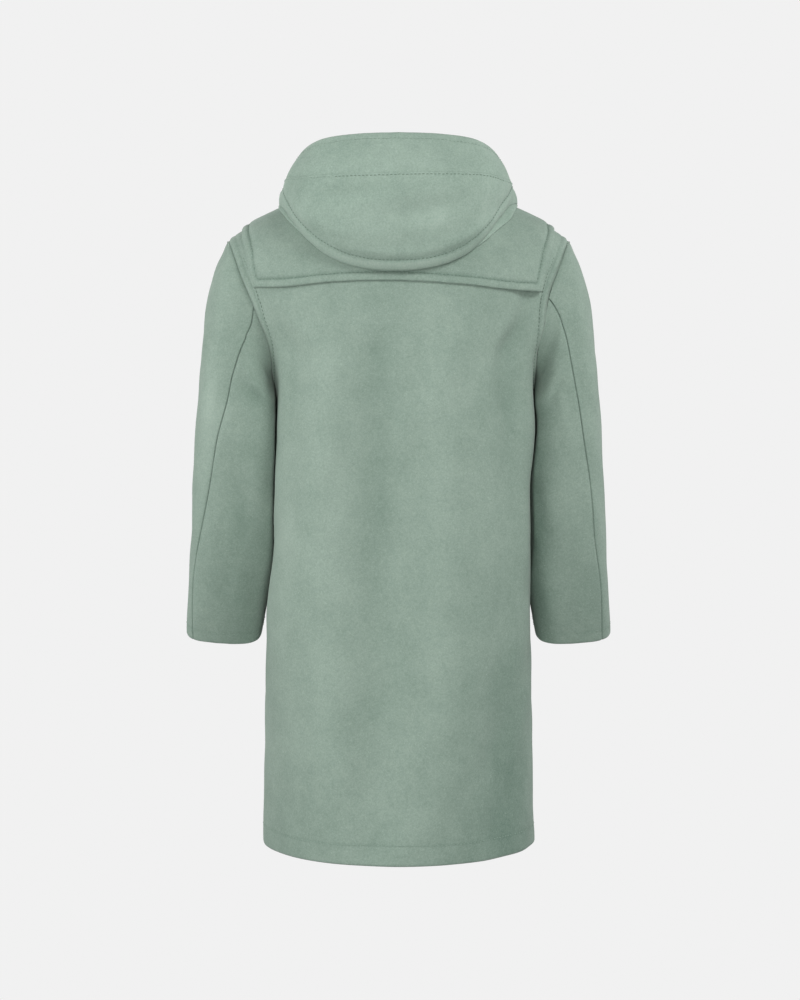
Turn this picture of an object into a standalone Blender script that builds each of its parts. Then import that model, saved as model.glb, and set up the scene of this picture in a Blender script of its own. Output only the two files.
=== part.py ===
"""Duffle coat in melton wool, filled out as if worn, hood down.

Metres, +Z up. The front faces -Y and the wearer's left is +X. The origin is the point
midway between the two side neck points, where a neck and shoulders hold the coat.
Every cloth piece is a wall on one smooth torso, sleeve or hood surface.
"""
import math

import bpy
import numpy as np

# Cloth and gaps
CLOTH = 0.003
SEAM_GAP = 0.0003
LAYER_GAP = 0.0007
YOKE_GAP = 0.0020

# The torso from the neck down to the hem. Each row is one loop round the body: its distance
# down the cloth from the neck, its half width, its depth behind and in front of the side
# line, its height behind, at the side and in front, and how square its corners are.
# Columns: run, half_width, back, front, back_z, side_z, front_z, square
TORSO_LEVELS = (
    (0.000, 0.0900, 0.075, 0.092, -0.022, 0.000, -0.080, 2.00),
    (0.050, 0.1360, 0.099, 0.108, -0.066, -0.017, -0.112, 2.05),
    (0.100, 0.1840, 0.115, 0.119, -0.108, -0.036, -0.142, 2.10),
    (0.150, 0.2290, 0.125, 0.127, -0.147, -0.060, -0.172, 2.20),
    (0.180, 0.2520, 0.130, 0.131, -0.170, -0.078, -0.190, 2.25),
    (0.215, 0.2560, 0.134, 0.134, -0.195, -0.113, -0.210, 2.30),
    (0.260, 0.2360, 0.139, 0.138, -0.228, -0.176, -0.238, 2.35),
    (0.310, 0.2030, 0.143, 0.141, -0.264, -0.242, -0.268, 2.45),
    (0.350, 0.1910, 0.146, 0.143, -0.292, -0.288, -0.293, 2.60),
    (0.430, 0.1915, 0.150, 0.147, -0.370, -0.370, -0.370, 2.80),
    (0.525, 0.1940, 0.153, 0.151, -0.465, -0.465, -0.465, 2.85),
    (0.675, 0.1950, 0.159, 0.157, -0.615, -0.615, -0.615, 2.70),
    (0.825, 0.1985, 0.168, 0.166, -0.765, -0.765, -0.765, 2.40),
    (1.032, 0.2025, 0.181, 0.178, -0.972, -0.972, -0.972, 2.00),
)
HEM_RUN = 1.032

# Soft lengthwise folds in the torso: angle round from the centre back, half width of the
# fold in degrees, depth (negative goes in), and the runs where it starts and ends.
# Columns: angle, spread, depth, from_run, to_run
TORSO_FOLDS = (
    (-47.0, 9.0, -0.0060, 0.16, 1.20),
    (-62.0, 9.0, 0.0030, 0.26, 0.70),
    (44.0, 9.0, -0.0030, 0.18, 0.62),
    (12.0, 9.0, -0.0020, 0.30, 1.20),
)
FOLD_FADE = 0.16

# Armhole: an oval seen from the side
ARMHOLE_TOP_Z = -0.078
ARMHOLE_BOTTOM_Z = -0.290
ARMHOLE_BACK = 0.076
ARMHOLE_FRONT = 0.078

# Yoke, laid over the shoulders with no shoulder seam
YOKE_BACK_Z = -0.1530
YOKE_FRONT_Z = -0.160
YOKE_LEFT_CORNER = (0.2078, -0.1580)
YOKE_RIGHT_CORNER = (-0.2025, -0.1648)
YOKE_SHOULDER_RUN = 0.150
# how far the yoke's back edge hangs below its middle: angle, dip
YOKE_DIPS = np.array([
    (-60.0, 0.0112), (-50.0, 0.0118), (-38.0, 0.0118), (-19.0, 0.0045), (0.0, 0.0),
    (20.0, 0.0014), (38.0, 0.0074), (52.0, 0.0050), (60.0, 0.0044)])
# how its side edges fall from the shoulder to a corner: share of the angle, share of the run
YOKE_SIDES = np.array([
    (0.0, 0.0), (0.25, 0.045), (0.42, 0.11), (0.65, 0.24), (0.78, 0.33), (0.883, 0.46),
    (0.93, 0.61), (0.96, 0.77), (1.0, 1.0)])
YOKE_SIDE_SHARES = np.array([1.0, 0.96, 0.93, 0.883, 0.78, 0.70, 0.60, 0.48, 0.32, 0.16])
YOKE_FRONT_CORNER_X = 0.204
YOKE_LAP_MARGIN = 0.003
YOKE_END_STEP = 2.0

# Fronts: the wearer's left laps over the right
OVERLAP = 0.040
OVERLAP_EASE = 0.045
OVERLAP_MARGIN = 0.022
FRONT_LIFT = CLOTH + YOKE_GAP

# Sleeves. Each ring has an inner point beside the body and an outer point, both at the
# sleeve's own middle depth, the half depth, that depth and the forward slope of the ring.
# The last two columns are the angle of the back seam round from the outer line, on the
# left and the right sleeve.
# Columns: way, inner_x, inner_z, outer_x, outer_z, half_depth, middle_y, slope,
# left_seam, right_seam
SLEEVE_RINGS = (
    (0.04, 0.1915, -0.2945, 0.2590, -0.0900, 0.0770, 0.001, 0.00, 100.0, 87.0),
    (0.10, 0.1890, -0.3000, 0.2700, -0.1140, 0.0785, 0.002, 0.00, 101.5, 88.5),
    (0.20, 0.1865, -0.3070, 0.2840, -0.1650, 0.0800, 0.003, 0.00, 101.0, 86.5),
    (0.30, 0.1840, -0.3140, 0.2905, -0.2200, 0.0800, 0.004, 0.00, 96.0, 82.0),
    (0.38, 0.1825, -0.3220, 0.2940, -0.2660, 0.0790, 0.005, 0.00, 89.5, 77.0),
    (0.46, 0.1825, -0.3360, 0.2970, -0.3100, 0.0775, 0.005, 0.00, 84.5, 72.5),
    (0.56, 0.1835, -0.3840, 0.3015, -0.3690, 0.0740, 0.004, 0.03, 71.0, 66.0),
    (0.67, 0.1855, -0.4460, 0.3060, -0.4380, 0.0700, 0.000, 0.10, 62.5, 58.0),
    (0.78, 0.1880, -0.5120, 0.3100, -0.5060, 0.0650, -0.008, 0.18, 52.0, 55.0),
    (0.88, 0.1930, -0.5750, 0.3145, -0.5700, 0.0590, -0.021, 0.26, 42.0, 49.0),
    (0.95, 0.2000, -0.6230, 0.3190, -0.6200, 0.0535, -0.034, 0.34, 44.0, 49.0),
    (1.00, 0.2085, -0.6665, 0.3230, -0.6590, 0.0490, -0.048, 0.38, 48.0, 50.5),
)
SLEEVE_WAYS = (0.0, 0.04, 0.10, 0.15, 0.20, 0.25, 0.30, 0.35, 0.40, 0.46, 0.52,
               0.59, 0.67, 0.74, 0.81, 0.88, 0.94, 1.0)
SLEEVE_LEFT_SEAM = 8
SLEEVE_RIGHT_SEAM = 9
SLEEVE_SQUARE = 2.4
SLEEVE_BACK_SEAM = 90.0
SLEEVE_FRONT_SEAM = -124.0
SLEEVE_BODY_GAP = 0.0020
SLEEVE_SEAM_OUT = 0.0006
UNDERARM_MARGIN = 0.004

# Hood, lying down flat behind the neck. Each row is one section through it, at an angle
# round from the centre back: the rim of its face opening, the run on the torso where its
# outer edge lies, and how far the upper layer swells outward between them.
# Columns: angle, rim_x, rim_y, rim_z, edge_run, swell
HOOD_SECTIONS = (
    (0.0, 0.000, 0.131, 0.0550, 0.1450, 0.047),
    (18.0, 0.058, 0.128, 0.0535, 0.1410, 0.046),
    (36.0, 0.108, 0.113, 0.0490, 0.1220, 0.039),
    (50.0, 0.133, 0.084, 0.0410, 0.1050, 0.028),
    (66.0, 0.146, 0.046, 0.0255, 0.0925, 0.016),
    (80.0, 0.148, 0.016, 0.0125, 0.0880, 0.010),
    (98.0, 0.143, -0.016, -0.0020, 0.0880, 0.010),
    (118.0, 0.125, -0.054, -0.0270, 0.0930, 0.010),
    (140.0, 0.092, -0.088, -0.0575, 0.0900, 0.009),
    (160.0, 0.052, -0.105, -0.0800, 0.0800, 0.008),
    (172.0, 0.020, -0.109, -0.0880, 0.0650, 0.007),
)
HOOD_END_ANGLE = 172.0
HOOD_RIGHT_END = -158.0
HOOD_SEAM_FALL = 0.24
HOOD_UNDER_MARGIN = 0.0030
HOOD_END_MARGIN = 0.0060
# Handles of a section's curve: shares of the swell, and of the line from edge to rim
HOOD_HIGH_SWELL = 1.10
HOOD_HIGH_DROP = 0.45
HOOD_LOW_SWELL = 0.65
HOOD_LOW_RISE = 0.16
HOOD_EDGE_GAP = 0.0012
HOOD_EDGE_HEIGHT = 2 * CLOTH + YOKE_GAP + LAYER_GAP + HOOD_EDGE_GAP

# Patch pockets on the fronts
POCKET_FROM_ANGLE = 116.0
POCKET_TO_ANGLE = 166.0
POCKET_TOP_RUN = 0.640
POCKET_HEIGHT = 0.190
POCKET_CORNER = 0.10

# Fastenings: a wooden toggle on a leather strap, held in a cord loop
TOGGLE_Z = (-0.190, -0.310, -0.430, -0.550)
TOGGLE_X = -0.012
TOGGLE_HEIGHT = 0.0148
STRAP_WIDTH = 0.0068
STRAP_THICKNESS = 0.0018
CORD_RADIUS = 0.0017
PATCH_THICKNESS = 0.0020
PATCH_HALF_WIDTH = 0.018
PATCH_HALF_HEIGHT = 0.015
PATCH_ROUNDING = 0.35
LOOP_PATCH_X = 0.070
STRAP_PATCH_X = -0.080

# The strap's way to the toggle, from its patch: x, height above the strap's first height,
# and whether it is on the step up to the left front. It comes back above itself.
STRAP_OUT = ((-0.0535, 0.0, 0), (-0.0430, 0.0, 1), (-0.0330, 0.0, 1), (-0.0235, 0.0012, 1))
STRAP_BACK = ((-0.0235, 0.0022, 1), (-0.0330, 0.0, 1), (-0.0435, 0.0, 1), (-0.0540, 0.0, 0))
STRAP_WRAP_FROM = -100.0
STRAP_WRAP_TO = 150.0

# One strand of the loop, from its patch to its bend: x, height above the cloth, and half
# the distance between the two strands. The bend lies over the folded strap.
LOOP_STRAND = ((0.0300, 0.0, 0.0066), (0.0060, 0.0, 0.0080), (-0.0140, 0.0, 0.0086),
               (-0.0225, 0.0012, 0.0074), (-0.0275, 0.0062, 0.0040))
LOOP_START = 0.0055
LOOP_BEND_X = -0.0290
LOOP_BEND_HEIGHT = 0.0070

# A toggle's profile from the groove to one end: distance along, radius
TOGGLE_PROFILE = ((0.0042, 0.0035), (0.0060, 0.0050), (0.0115, 0.0062), (0.0185, 0.0052),
                  (0.0235, 0.0032), (0.0250, 0.0014))

# Rows of the back and the fronts: up the side seam, then round half of the armhole. The
# power says how near the top a row starts to bend to meet the top edge.
SIDE_ROWS = 14
ARMHOLE_ROWS = 10
TOP_BEND = 6

# Columns from the centre to the armhole, as shares of the way, with one at the side neck
NECK_SHARE = 0.42
PANEL_COLUMNS = (0.0, 0.08, 0.16, 0.25, 0.34, NECK_SHARE, 0.51, 0.60, 0.69, 0.78, 0.86, 0.93, 1.0)

# Finishes: colour, roughness
WOOL = ((0.290, 0.370, 0.310, 1.0), 0.95)
LEATHER = ((0.060, 0.030, 0.016, 1.0), 0.55)
WOOD = ((0.240, 0.120, 0.050, 1.0), 0.45)
CORD = ((0.110, 0.130, 0.105, 1.0), 0.85)


def clear_scene():
    for item in list(bpy.data.objects):
        bpy.data.objects.remove(item, do_unlink=True)


def material(name, finish):
    """A plain Principled material."""
    colour, roughness = finish
    made = bpy.data.materials.new(name)
    made.use_nodes = True
    shader = made.node_tree.nodes["Principled BSDF"]
    shader.inputs["Base Color"].default_value = colour
    shader.inputs["Roughness"].default_value = roughness
    shader.inputs["Metallic"].default_value = 0.0
    made.diffuse_color = colour
    return made


def smoothstep(share):
    """0 below 0, 1 above 1, and a smooth rise between."""
    share = np.clip(share, 0.0, 1.0)
    return share * share * (3.0 - 2.0 * share)


def read_table(rows, place):
    """The columns of a table at a place in its first column, by smooth cubic pieces."""
    table = np.array(rows)
    knots = table[:, 0]
    slopes = np.gradient(table, knots, axis=0)
    place = np.clip(place, knots[0], knots[-1])
    row = np.clip(np.searchsorted(knots, place, side="right") - 1, 0, len(knots) - 2)
    span = (knots[row + 1] - knots[row])[..., None]
    share = (place[..., None] - knots[row][..., None]) / span
    start = 2 * share**3 - 3 * share**2 + 1
    leave = share**3 - 2 * share**2 + share
    end = 3 * share**2 - 2 * share**3
    arrive = share**3 - share**2
    value = start * table[row] + leave * span * slopes[row]
    value = value + end * table[row + 1] + arrive * span * slopes[row + 1]
    return np.moveaxis(value, -1, 0)


def torso(angle, run):
    """The torso's outer surface: angle in degrees from the centre back, run down from the neck.

    x = half_width sin(a) / k and y = depth cos(a) / k, with k = (|sin|^p + |cos|^p)^(1/p).
    """
    angle, run = np.broadcast_arrays(np.asarray(angle, float), np.asarray(run, float))
    _, half_width, back, front, back_z, side_z, front_z, square = read_table(TORSO_LEVELS, run)
    sine = np.sin(np.radians(angle))
    cosine = np.cos(np.radians(angle))
    corner = (np.abs(sine)**square + np.abs(cosine)**square) ** (1.0 / square)
    depth = np.where(cosine > 0, back, front)
    end_z = np.where(cosine > 0, back_z, front_z)
    x = half_width * sine / corner
    y = depth * cosine / corner
    z = side_z + (end_z - side_z) * cosine**2
    fold = np.zeros_like(x)
    for centre, spread, fold_depth, from_run, to_run in TORSO_FOLDS:
        rise = smoothstep((run - from_run) / FOLD_FADE) * smoothstep((to_run - run) / FOLD_FADE)
        fold = fold + fold_depth * rise * np.exp(-((angle - centre) / spread) ** 2)
    reach = np.hypot(x, y)
    return np.stack((x * (1 + fold / reach), y * (1 + fold / reach), z), axis=-1)


def normals(surface, first, second):
    """Unit normals of a surface of two parameters, by small steps."""
    step_first = 0.05
    step_second = 0.0005
    along = surface(first + step_first, second) - surface(first - step_first, second)
    down = surface(first, second + step_second) - surface(first, second - step_second)
    across = np.cross(along, down)
    return across / np.linalg.norm(across, axis=-1, keepdims=True)


def raised(surface, first, second, height):
    """Points of a surface moved out along its normals."""
    height = np.broadcast_to(np.asarray(height, float), np.shape(first))
    return surface(first, second) + normals(surface, first, second) * height[..., None]


def locate(axes, target, guess):
    """The torso's (angle, run) where two of its coordinates have the target values."""
    target = np.asarray(target, float)
    angle = np.broadcast_to(np.asarray(guess[0], float), target.shape[:-1]).copy()
    run = np.broadcast_to(np.asarray(guess[1], float), target.shape[:-1]).copy()
    angle_step = 0.02
    run_step = 0.0002
    for _ in range(30):
        here = torso(angle, run)[..., axes]
        by_angle = (torso(angle + angle_step, run)[..., axes] - here) / angle_step
        by_run = (torso(angle, run + run_step)[..., axes] - here) / run_step
        miss = target - here
        size = by_angle[..., 0] * by_run[..., 1] - by_angle[..., 1] * by_run[..., 0]
        turn = (miss[..., 0] * by_run[..., 1] - miss[..., 1] * by_run[..., 0]) / size
        move = (by_angle[..., 0] * miss[..., 1] - by_angle[..., 1] * miss[..., 0]) / size
        angle = angle + np.clip(turn, -10.0, 10.0)
        run = np.clip(run + np.clip(move, -0.04, 0.04), 0.0, HEM_RUN)
    return angle, run


def armhole(turn, side=1):
    """The armhole's (angle, run): turn 0 is the shoulder tip, 90 the back, 180 the underarm."""
    turn = np.radians(turn)
    middle = (ARMHOLE_TOP_Z + ARMHOLE_BOTTOM_Z) / 2
    half = (ARMHOLE_TOP_Z - ARMHOLE_BOTTOM_Z) / 2
    depth = np.where(np.sin(turn) > 0, ARMHOLE_BACK, ARMHOLE_FRONT)
    target = np.stack((depth * np.sin(turn), middle + half * np.cos(turn)), axis=-1)
    angle, run = locate([1, 2], target, (90.0 - 30.0 * np.sin(turn), 0.27 - 0.08 * np.cos(turn)))
    return side * angle, run


def front_edge_angle(run, reach):
    """How far past the centre front, in degrees, a straight edge lies at a reach in x."""
    half_width = read_table(TORSO_LEVELS, np.asarray(run, float))[1]
    return np.degrees(np.arcsin(reach / half_width))


def left_lift(angle, run):
    """How far the wearer's left front is raised to lie over the right front."""
    x = torso(angle, run)[..., 0]
    share = smoothstep((OVERLAP + OVERLAP_MARGIN + OVERLAP_EASE - x) / OVERLAP_EASE)
    return np.where(angle > 90.0, FRONT_LIFT * share, 0.0)


def net_between(inner, outer, top, across, up):
    """A net of (angle, run): straight rows from an inner edge to an outer edge, bent near
    the top to meet the top edge. Each edge is a function of 0..1."""
    across, up = np.meshgrid(across, up)
    ones = np.ones(1)
    net = []
    for item in (0, 1):
        row = (1 - across) * inner(up)[item] + across * outer(up)[item]
        last_row = (1 - across) * inner(ones)[item] + across * outer(ones)[item]
        net.append(row + (top(across)[item] - last_row) * up**TOP_BEND)
    return net[0], net[1]


def tuck_edges(points, edges, gap):
    """Move the named edges of a net of points in by half a seam gap."""
    points = points.copy()
    steps = {"low": (0, 1), "high": (-1, -2)}
    for edge in edges:
        outer, inner = steps[edge.split("_")[0]]
        if edge.endswith("row"):
            way = points[inner] - points[outer]
            way = way / np.linalg.norm(way, axis=-1, keepdims=True)
            points[outer] = points[outer] + way * gap / 2
        else:
            way = points[:, inner] - points[:, outer]
            way = way / np.linalg.norm(way, axis=-1, keepdims=True)
            points[:, outer] = points[:, outer] + way * gap / 2
    return points


def add_mesh(name, vertices, faces, finish):
    """An object from vertices and faces, with its own material, shaded smooth."""
    mesh = bpy.data.meshes.new(name)
    mesh.from_pydata([tuple(vertex) for vertex in vertices], [], faces)
    mesh.validate()
    mesh.materials.append(material(name, finish))
    mesh.shade_smooth()
    mesh.set_sharp_from_angle(angle=math.radians(40))
    made = bpy.data.objects.new(name, mesh)
    bpy.context.scene.collection.objects.link(made)
    return made


def add_wall(name, outside, inside, finish=WOOL):
    """One closed wall between an outer and an inner net of points."""
    rows, columns = outside.shape[:2]
    count = rows * columns
    vertices = np.concatenate((outside.reshape(-1, 3), inside.reshape(-1, 3)))
    faces = []
    for row in range(rows - 1):
        for column in range(columns - 1):
            corner = row * columns + column
            ring = (corner, corner + 1, corner + columns + 1, corner + columns)
            faces.append(ring)
            faces.append(tuple(count + vertex for vertex in reversed(ring)))
    border = [(0, column) for column in range(columns)]
    border += [(row, columns - 1) for row in range(1, rows)]
    border += [(rows - 1, column) for column in range(columns - 2, -1, -1)]
    border += [(row, 0) for row in range(rows - 2, 0, -1)]
    loop = [row * columns + column for row, column in border]
    for here, after in zip(loop, loop[1:] + loop[:1]):
        faces.append((after, here, here + count, after + count))
    row, column = rows // 2, columns // 2
    middle = outside[row, column]
    along = outside[row, column - 1] - middle
    up = outside[row - 1, column] - middle
    if np.dot(np.cross(along, up), middle - inside[row, column]) < 0:
        faces = [tuple(reversed(face)) for face in faces]
    return add_mesh(name, vertices, faces, finish)


def wall_on(name, surface, first, second, bottom, edges=(), finish=WOOL, thickness=CLOTH):
    """A wall on a surface, from the height bottom to that height plus the thickness."""
    outside = tuck_edges(raised(surface, first, second, bottom + thickness), edges, SEAM_GAP)
    inside = tuck_edges(raised(surface, first, second, bottom), edges, SEAM_GAP)
    return add_wall(name, outside, inside, finish)


def side_line(turn_from, share_up, side):
    """Up the side seam from the hem, then round half of the armhole to the shoulder tip."""
    underarm = armhole(np.array([180.0]))[1][0]
    joint = SIDE_ROWS / (SIDE_ROWS + ARMHOLE_ROWS)
    share = np.clip(share_up / joint, 0.0, 1.0)
    angle = np.full_like(share, 90.0)
    run = HEM_RUN + (underarm - HEM_RUN) * share
    turn = turn_from * (1.0 - np.clip((share_up - joint) / (1.0 - joint), 0.0, 1.0))
    hole_angle, hole_run = armhole(turn)
    above = share_up > joint
    return side * np.where(above, hole_angle, angle), np.where(above, hole_run, run)


def shoulder_line(start_angle, share, side):
    """Round the neck from the start angle to the side, then out along the shoulder."""
    tip = armhole(np.array([0.0]))[1][0]
    round_neck = np.clip(share / NECK_SHARE, 0.0, 1.0)
    out = np.clip((share - NECK_SHARE) / (1 - NECK_SHARE), 0.0, 1.0)
    return side * (start_angle + (90.0 - start_angle) * round_neck), tip * out


def build_back():
    """The back, one piece from side seam to side seam and up to the shoulders and neck."""
    half = np.array(PANEL_COLUMNS)
    up = np.linspace(0.0, 1.0, SIDE_ROWS + ARMHOLE_ROWS + 1)
    angle, run = net_between(
        lambda share: (np.zeros_like(share), HEM_RUN * (1 - share)),
        lambda share: side_line(180.0, share, 1),
        lambda share: shoulder_line(0.0, share, 1),
        half, up)
    angle = np.concatenate((-angle[:, :0:-1], angle), axis=1)
    run = np.concatenate((run[:, :0:-1], run), axis=1)
    wall_on("back", torso, angle, run, -CLOTH, ("low_column", "high_column", "high_row"))


def build_front(name, side):
    """One front, from its edge past the centre to the side seam, shoulder and armhole."""
    across = np.array(PANEL_COLUMNS)
    up = np.linspace(0.0, 1.0, SIDE_ROWS + ARMHOLE_ROWS + 1)
    neck_start = 180.0 + front_edge_angle(0.0, OVERLAP)

    def edge(share):
        run = HEM_RUN * (1 - share)
        return side * (180.0 + front_edge_angle(run, OVERLAP)), run

    angle, run = net_between(
        edge,
        lambda share: side_line(-180.0, share, side),
        lambda share: shoulder_line(neck_start, share, side),
        across, up)
    lift = left_lift(angle, run) if side > 0 else 0.0
    wall_on(name, torso, angle, run, lift - CLOTH, ("high_column", "high_row"))


def yoke_corner(x, z, guess):
    """The (angle, run) of one corner of the yoke's outer edge."""
    angle, run = locate([0, 2], np.array([x, z]), (guess, 0.20))
    return float(angle), float(run)


def yoke_corners(side):
    """The yoke's back and front corners on one side, as angles from the centre back and runs."""
    x, z = YOKE_LEFT_CORNER if side > 0 else YOKE_RIGHT_CORNER
    back_angle, back_run = yoke_corner(x, z, side * 56.0)
    front_angle, front_run = yoke_corner(side * YOKE_FRONT_CORNER_X, YOKE_FRONT_Z, side * 125.0)
    return abs(back_angle), back_run, abs(front_angle), front_run


def yoke_edge(angle):
    """The run of the yoke's outer edge: nearly level behind and in front, falling at the armholes."""
    run = []
    for turn in angle:
        back_angle, back_run, front_angle, front_run = yoke_corners(1 if turn >= 0.0 else -1)
        away = abs(turn)
        if away <= back_angle:
            dip = np.interp(turn, YOKE_DIPS[:, 0], YOKE_DIPS[:, 1])
            run.append(run_at_height(turn, YOKE_BACK_Z - dip))
        elif away >= front_angle:
            run.append(run_at_height(turn, YOKE_FRONT_Z))
        else:
            corner_angle = back_angle if away < 90.0 else front_angle
            corner_run = back_run if away < 90.0 else front_run
            share = np.interp((away - 90.0) / (corner_angle - 90.0), YOKE_SIDES[:, 0], YOKE_SIDES[:, 1])
            run.append(YOKE_SHOULDER_RUN + (corner_run - YOKE_SHOULDER_RUN) * share)
    return np.array(run)


def run_at_height(angle, height):
    """The run where the torso at one angle has a height, found by halving."""
    low, high = 0.0, HEM_RUN
    for _ in range(40):
        middle = (low + high) / 2
        if torso(angle, middle)[2] > height:
            low = middle
        else:
            high = middle
    return low


def round_the_neck(behind, beside, before):
    """Angles from the centre back to the hood's front end, with one at each yoke corner.

    The arguments are the steps behind the back corner, from there to the front corner on
    each side of the shoulder, and before the front corner.
    """
    back, _, front, _ = yoke_corners(1)
    return np.concatenate((
        np.linspace(0.0, back, behind + 1)[:-1],
        np.linspace(back, 90.0, beside + 1)[:-1],
        np.linspace(90.0, front, beside + 1)[:-1],
        np.linspace(front, HOOD_END_ANGLE, before + 1)))


def build_yoke():
    """The yoke: one layer over the shoulders, on the back and both fronts."""
    halves = []
    for side in (-1, 1):
        back, _, front, _ = yoke_corners(side)
        halves.append(np.concatenate((
            np.linspace(0.0, back, 6)[:-1],
            90.0 + (back - 90.0) * YOKE_SIDE_SHARES,
            [90.0],
            90.0 + (front - 90.0) * YOKE_SIDE_SHARES[::-1],
            np.linspace(front, HOOD_END_ANGLE, 5)[1:])))
    angle = np.concatenate((-halves[0][:0:-1], halves[1]))
    down = np.linspace(0.0, 1.0, 12)
    run = down[:, None] * yoke_edge(angle)[None, :]
    angle = np.broadcast_to(angle, run.shape)
    end_run = down * yoke_edge(np.array([180.0]))[0]
    left_end = 180.0 + front_edge_angle(end_run, OVERLAP)
    right_end = front_edge_angle(end_run, OVERLAP + YOKE_LAP_MARGIN) - 180.0
    middle_run = (end_run + run[:, -1]) / 2
    middle_angle = (left_end + angle[:, -1]) / 2
    angle = np.column_stack([angle, middle_angle, left_end])
    run = np.column_stack([run, middle_run, end_run])
    kept = angle[0, :] > right_end[:, None] + YOKE_END_STEP
    angle = np.where(kept, angle, right_end[:, None])
    wall_on("yoke", torso, angle, run, left_lift(angle, run) + YOKE_GAP)


def body_half_width(y, z):
    """The torso's half width where it has a depth and a height below the underarm."""
    run = np.interp(-z, [-row[5] for row in TORSO_LEVELS], [row[0] for row in TORSO_LEVELS])
    _, half_width, back, front, _, _, _, square = read_table(TORSO_LEVELS, run)
    share = np.clip(np.abs(y) / np.where(y > 0, back, front), 0.0, 1.0)
    return half_width * (1.0 - share**square) ** (1.0 / square)


def armhole_ring(turn, inset):
    """The left armhole's rim just outside the body's cloth, drawn in towards its middle."""
    known = np.linspace(-180.0, 180.0, 4 * ARMHOLE_ROWS + 1)
    points = torso(*armhole(known))
    turn = (turn + 180.0) % 360.0 - 180.0
    rim = np.stack([np.interp(turn, known, points[:, axis]) for axis in range(3)], axis=-1)
    inward = points.mean(axis=0) - rim
    inward = inward / np.linalg.norm(inward, axis=-1, keepdims=True)
    return rim + inward * inset + np.array([SLEEVE_SEAM_OUT, 0.0, 0.0])


def sleeve(turn, way, inset):
    """The left sleeve at a distance inside its outer face.

    Turn goes round in degrees from the outer line towards the back, way from the armhole
    to the cuff. Each ring is a rounded oval, pushed out where it would meet the body.
    """
    turn, way = np.broadcast_arrays(np.asarray(turn, float), np.asarray(way, float))
    first_way = SLEEVE_RINGS[0][0]
    table = read_table(SLEEVE_RINGS, np.maximum(way, first_way))
    _, inner_x, inner_z, outer_x, outer_z, half_depth, middle_y, slope, _, _ = table
    cosine = np.cos(np.radians(turn))
    sine = np.sin(np.radians(turn))
    corner = (np.abs(sine)**SLEEVE_SQUARE + np.abs(cosine)**SLEEVE_SQUARE)
    corner = corner ** (1.0 / SLEEVE_SQUARE)
    half_width = np.hypot(outer_x - inner_x, outer_z - inner_z) / 2
    across = (1.0 - inset / half_width) * cosine / corner / 2
    depth = (half_depth - inset) * sine / corner
    x = (inner_x + outer_x) / 2 + (outer_x - inner_x) * across
    z = (inner_z + outer_z) / 2 + (outer_z - inner_z) * across - slope * depth
    y = middle_y + depth
    beside = body_half_width(y, np.minimum(z, ARMHOLE_BOTTOM_Z)) + SLEEVE_BODY_GAP + inset
    x = np.where(z < ARMHOLE_BOTTOM_Z + UNDERARM_MARGIN, np.maximum(x, beside), x)
    share = np.clip(1.0 - way / first_way, 0.0, 1.0)[..., None]
    return np.stack((x, y, z), axis=-1) * (1 - share) + armhole_ring(turn, inset) * share


def build_sleeve(side_name, side):
    """The two pieces of one sleeve: the top sleeve and the under sleeve."""
    way = np.array(SLEEVE_WAYS)
    seam_column = SLEEVE_LEFT_SEAM if side > 0 else SLEEVE_RIGHT_SEAM
    back_seam = read_table(SLEEVE_RINGS, np.maximum(way, SLEEVE_RINGS[0][0]))[seam_column]
    back_seam[0] = SLEEVE_BACK_SEAM
    front_seam = np.full_like(way, SLEEVE_FRONT_SEAM)
    mirror = np.array([side, 1.0, 1.0])
    for name, start, end, count in (
            ("sleeve_top_", front_seam, back_seam, 13),
            ("sleeve_under_", back_seam, front_seam + 360.0, 9)):
        share = np.linspace(0.0, 1.0, count)
        turn = start[:, None] + (end - start)[:, None] * share[None, :]
        ways = np.broadcast_to(way[:, None], turn.shape)
        faces = []
        for inset in (0.0, CLOTH):
            points = sleeve(turn, ways, inset) * mirror
            faces.append(tuck_edges(points, ("low_column", "high_column"), SEAM_GAP))
        add_wall(name + side_name, faces[0], faces[1])


def hood(angle, fall):
    """The hood's upper layer, from its rim (fall 0) to its outer edge (fall 1).

    Each section is a cubic Bezier curve that leaves the edge close to the yoke.
    """
    angle, fall = np.broadcast_arrays(np.asarray(angle, float), np.asarray(fall, float))
    side = np.where(angle < 0, -1.0, 1.0)
    _, rim_x, rim_y, rim_z, edge_run, swell = read_table(HOOD_SECTIONS, np.abs(angle))
    rim = np.stack((side * rim_x, rim_y, rim_z), axis=-1)
    edge = raised(torso, angle, edge_run, HOOD_EDGE_HEIGHT)
    away = (rim + edge)[..., :2]
    away = away / np.linalg.norm(away, axis=-1, keepdims=True)
    chord = rim - edge
    inward = (chord[..., :2] * away).sum(axis=-1)
    out = np.stack((away[..., 0] * chord[..., 2], away[..., 1] * chord[..., 2], -inward), axis=-1)
    out = out / np.linalg.norm(out, axis=-1, keepdims=True)
    high = rim + out * swell[..., None] * HOOD_HIGH_SWELL - chord * HOOD_HIGH_DROP
    low = edge + out * swell[..., None] * HOOD_LOW_SWELL + chord * HOOD_LOW_RISE
    fall = fall[..., None]
    keep = 1.0 - fall
    return rim * keep**3 + 3 * high * keep**2 * fall + 3 * low * keep * fall**2 + edge * fall**3


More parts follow.
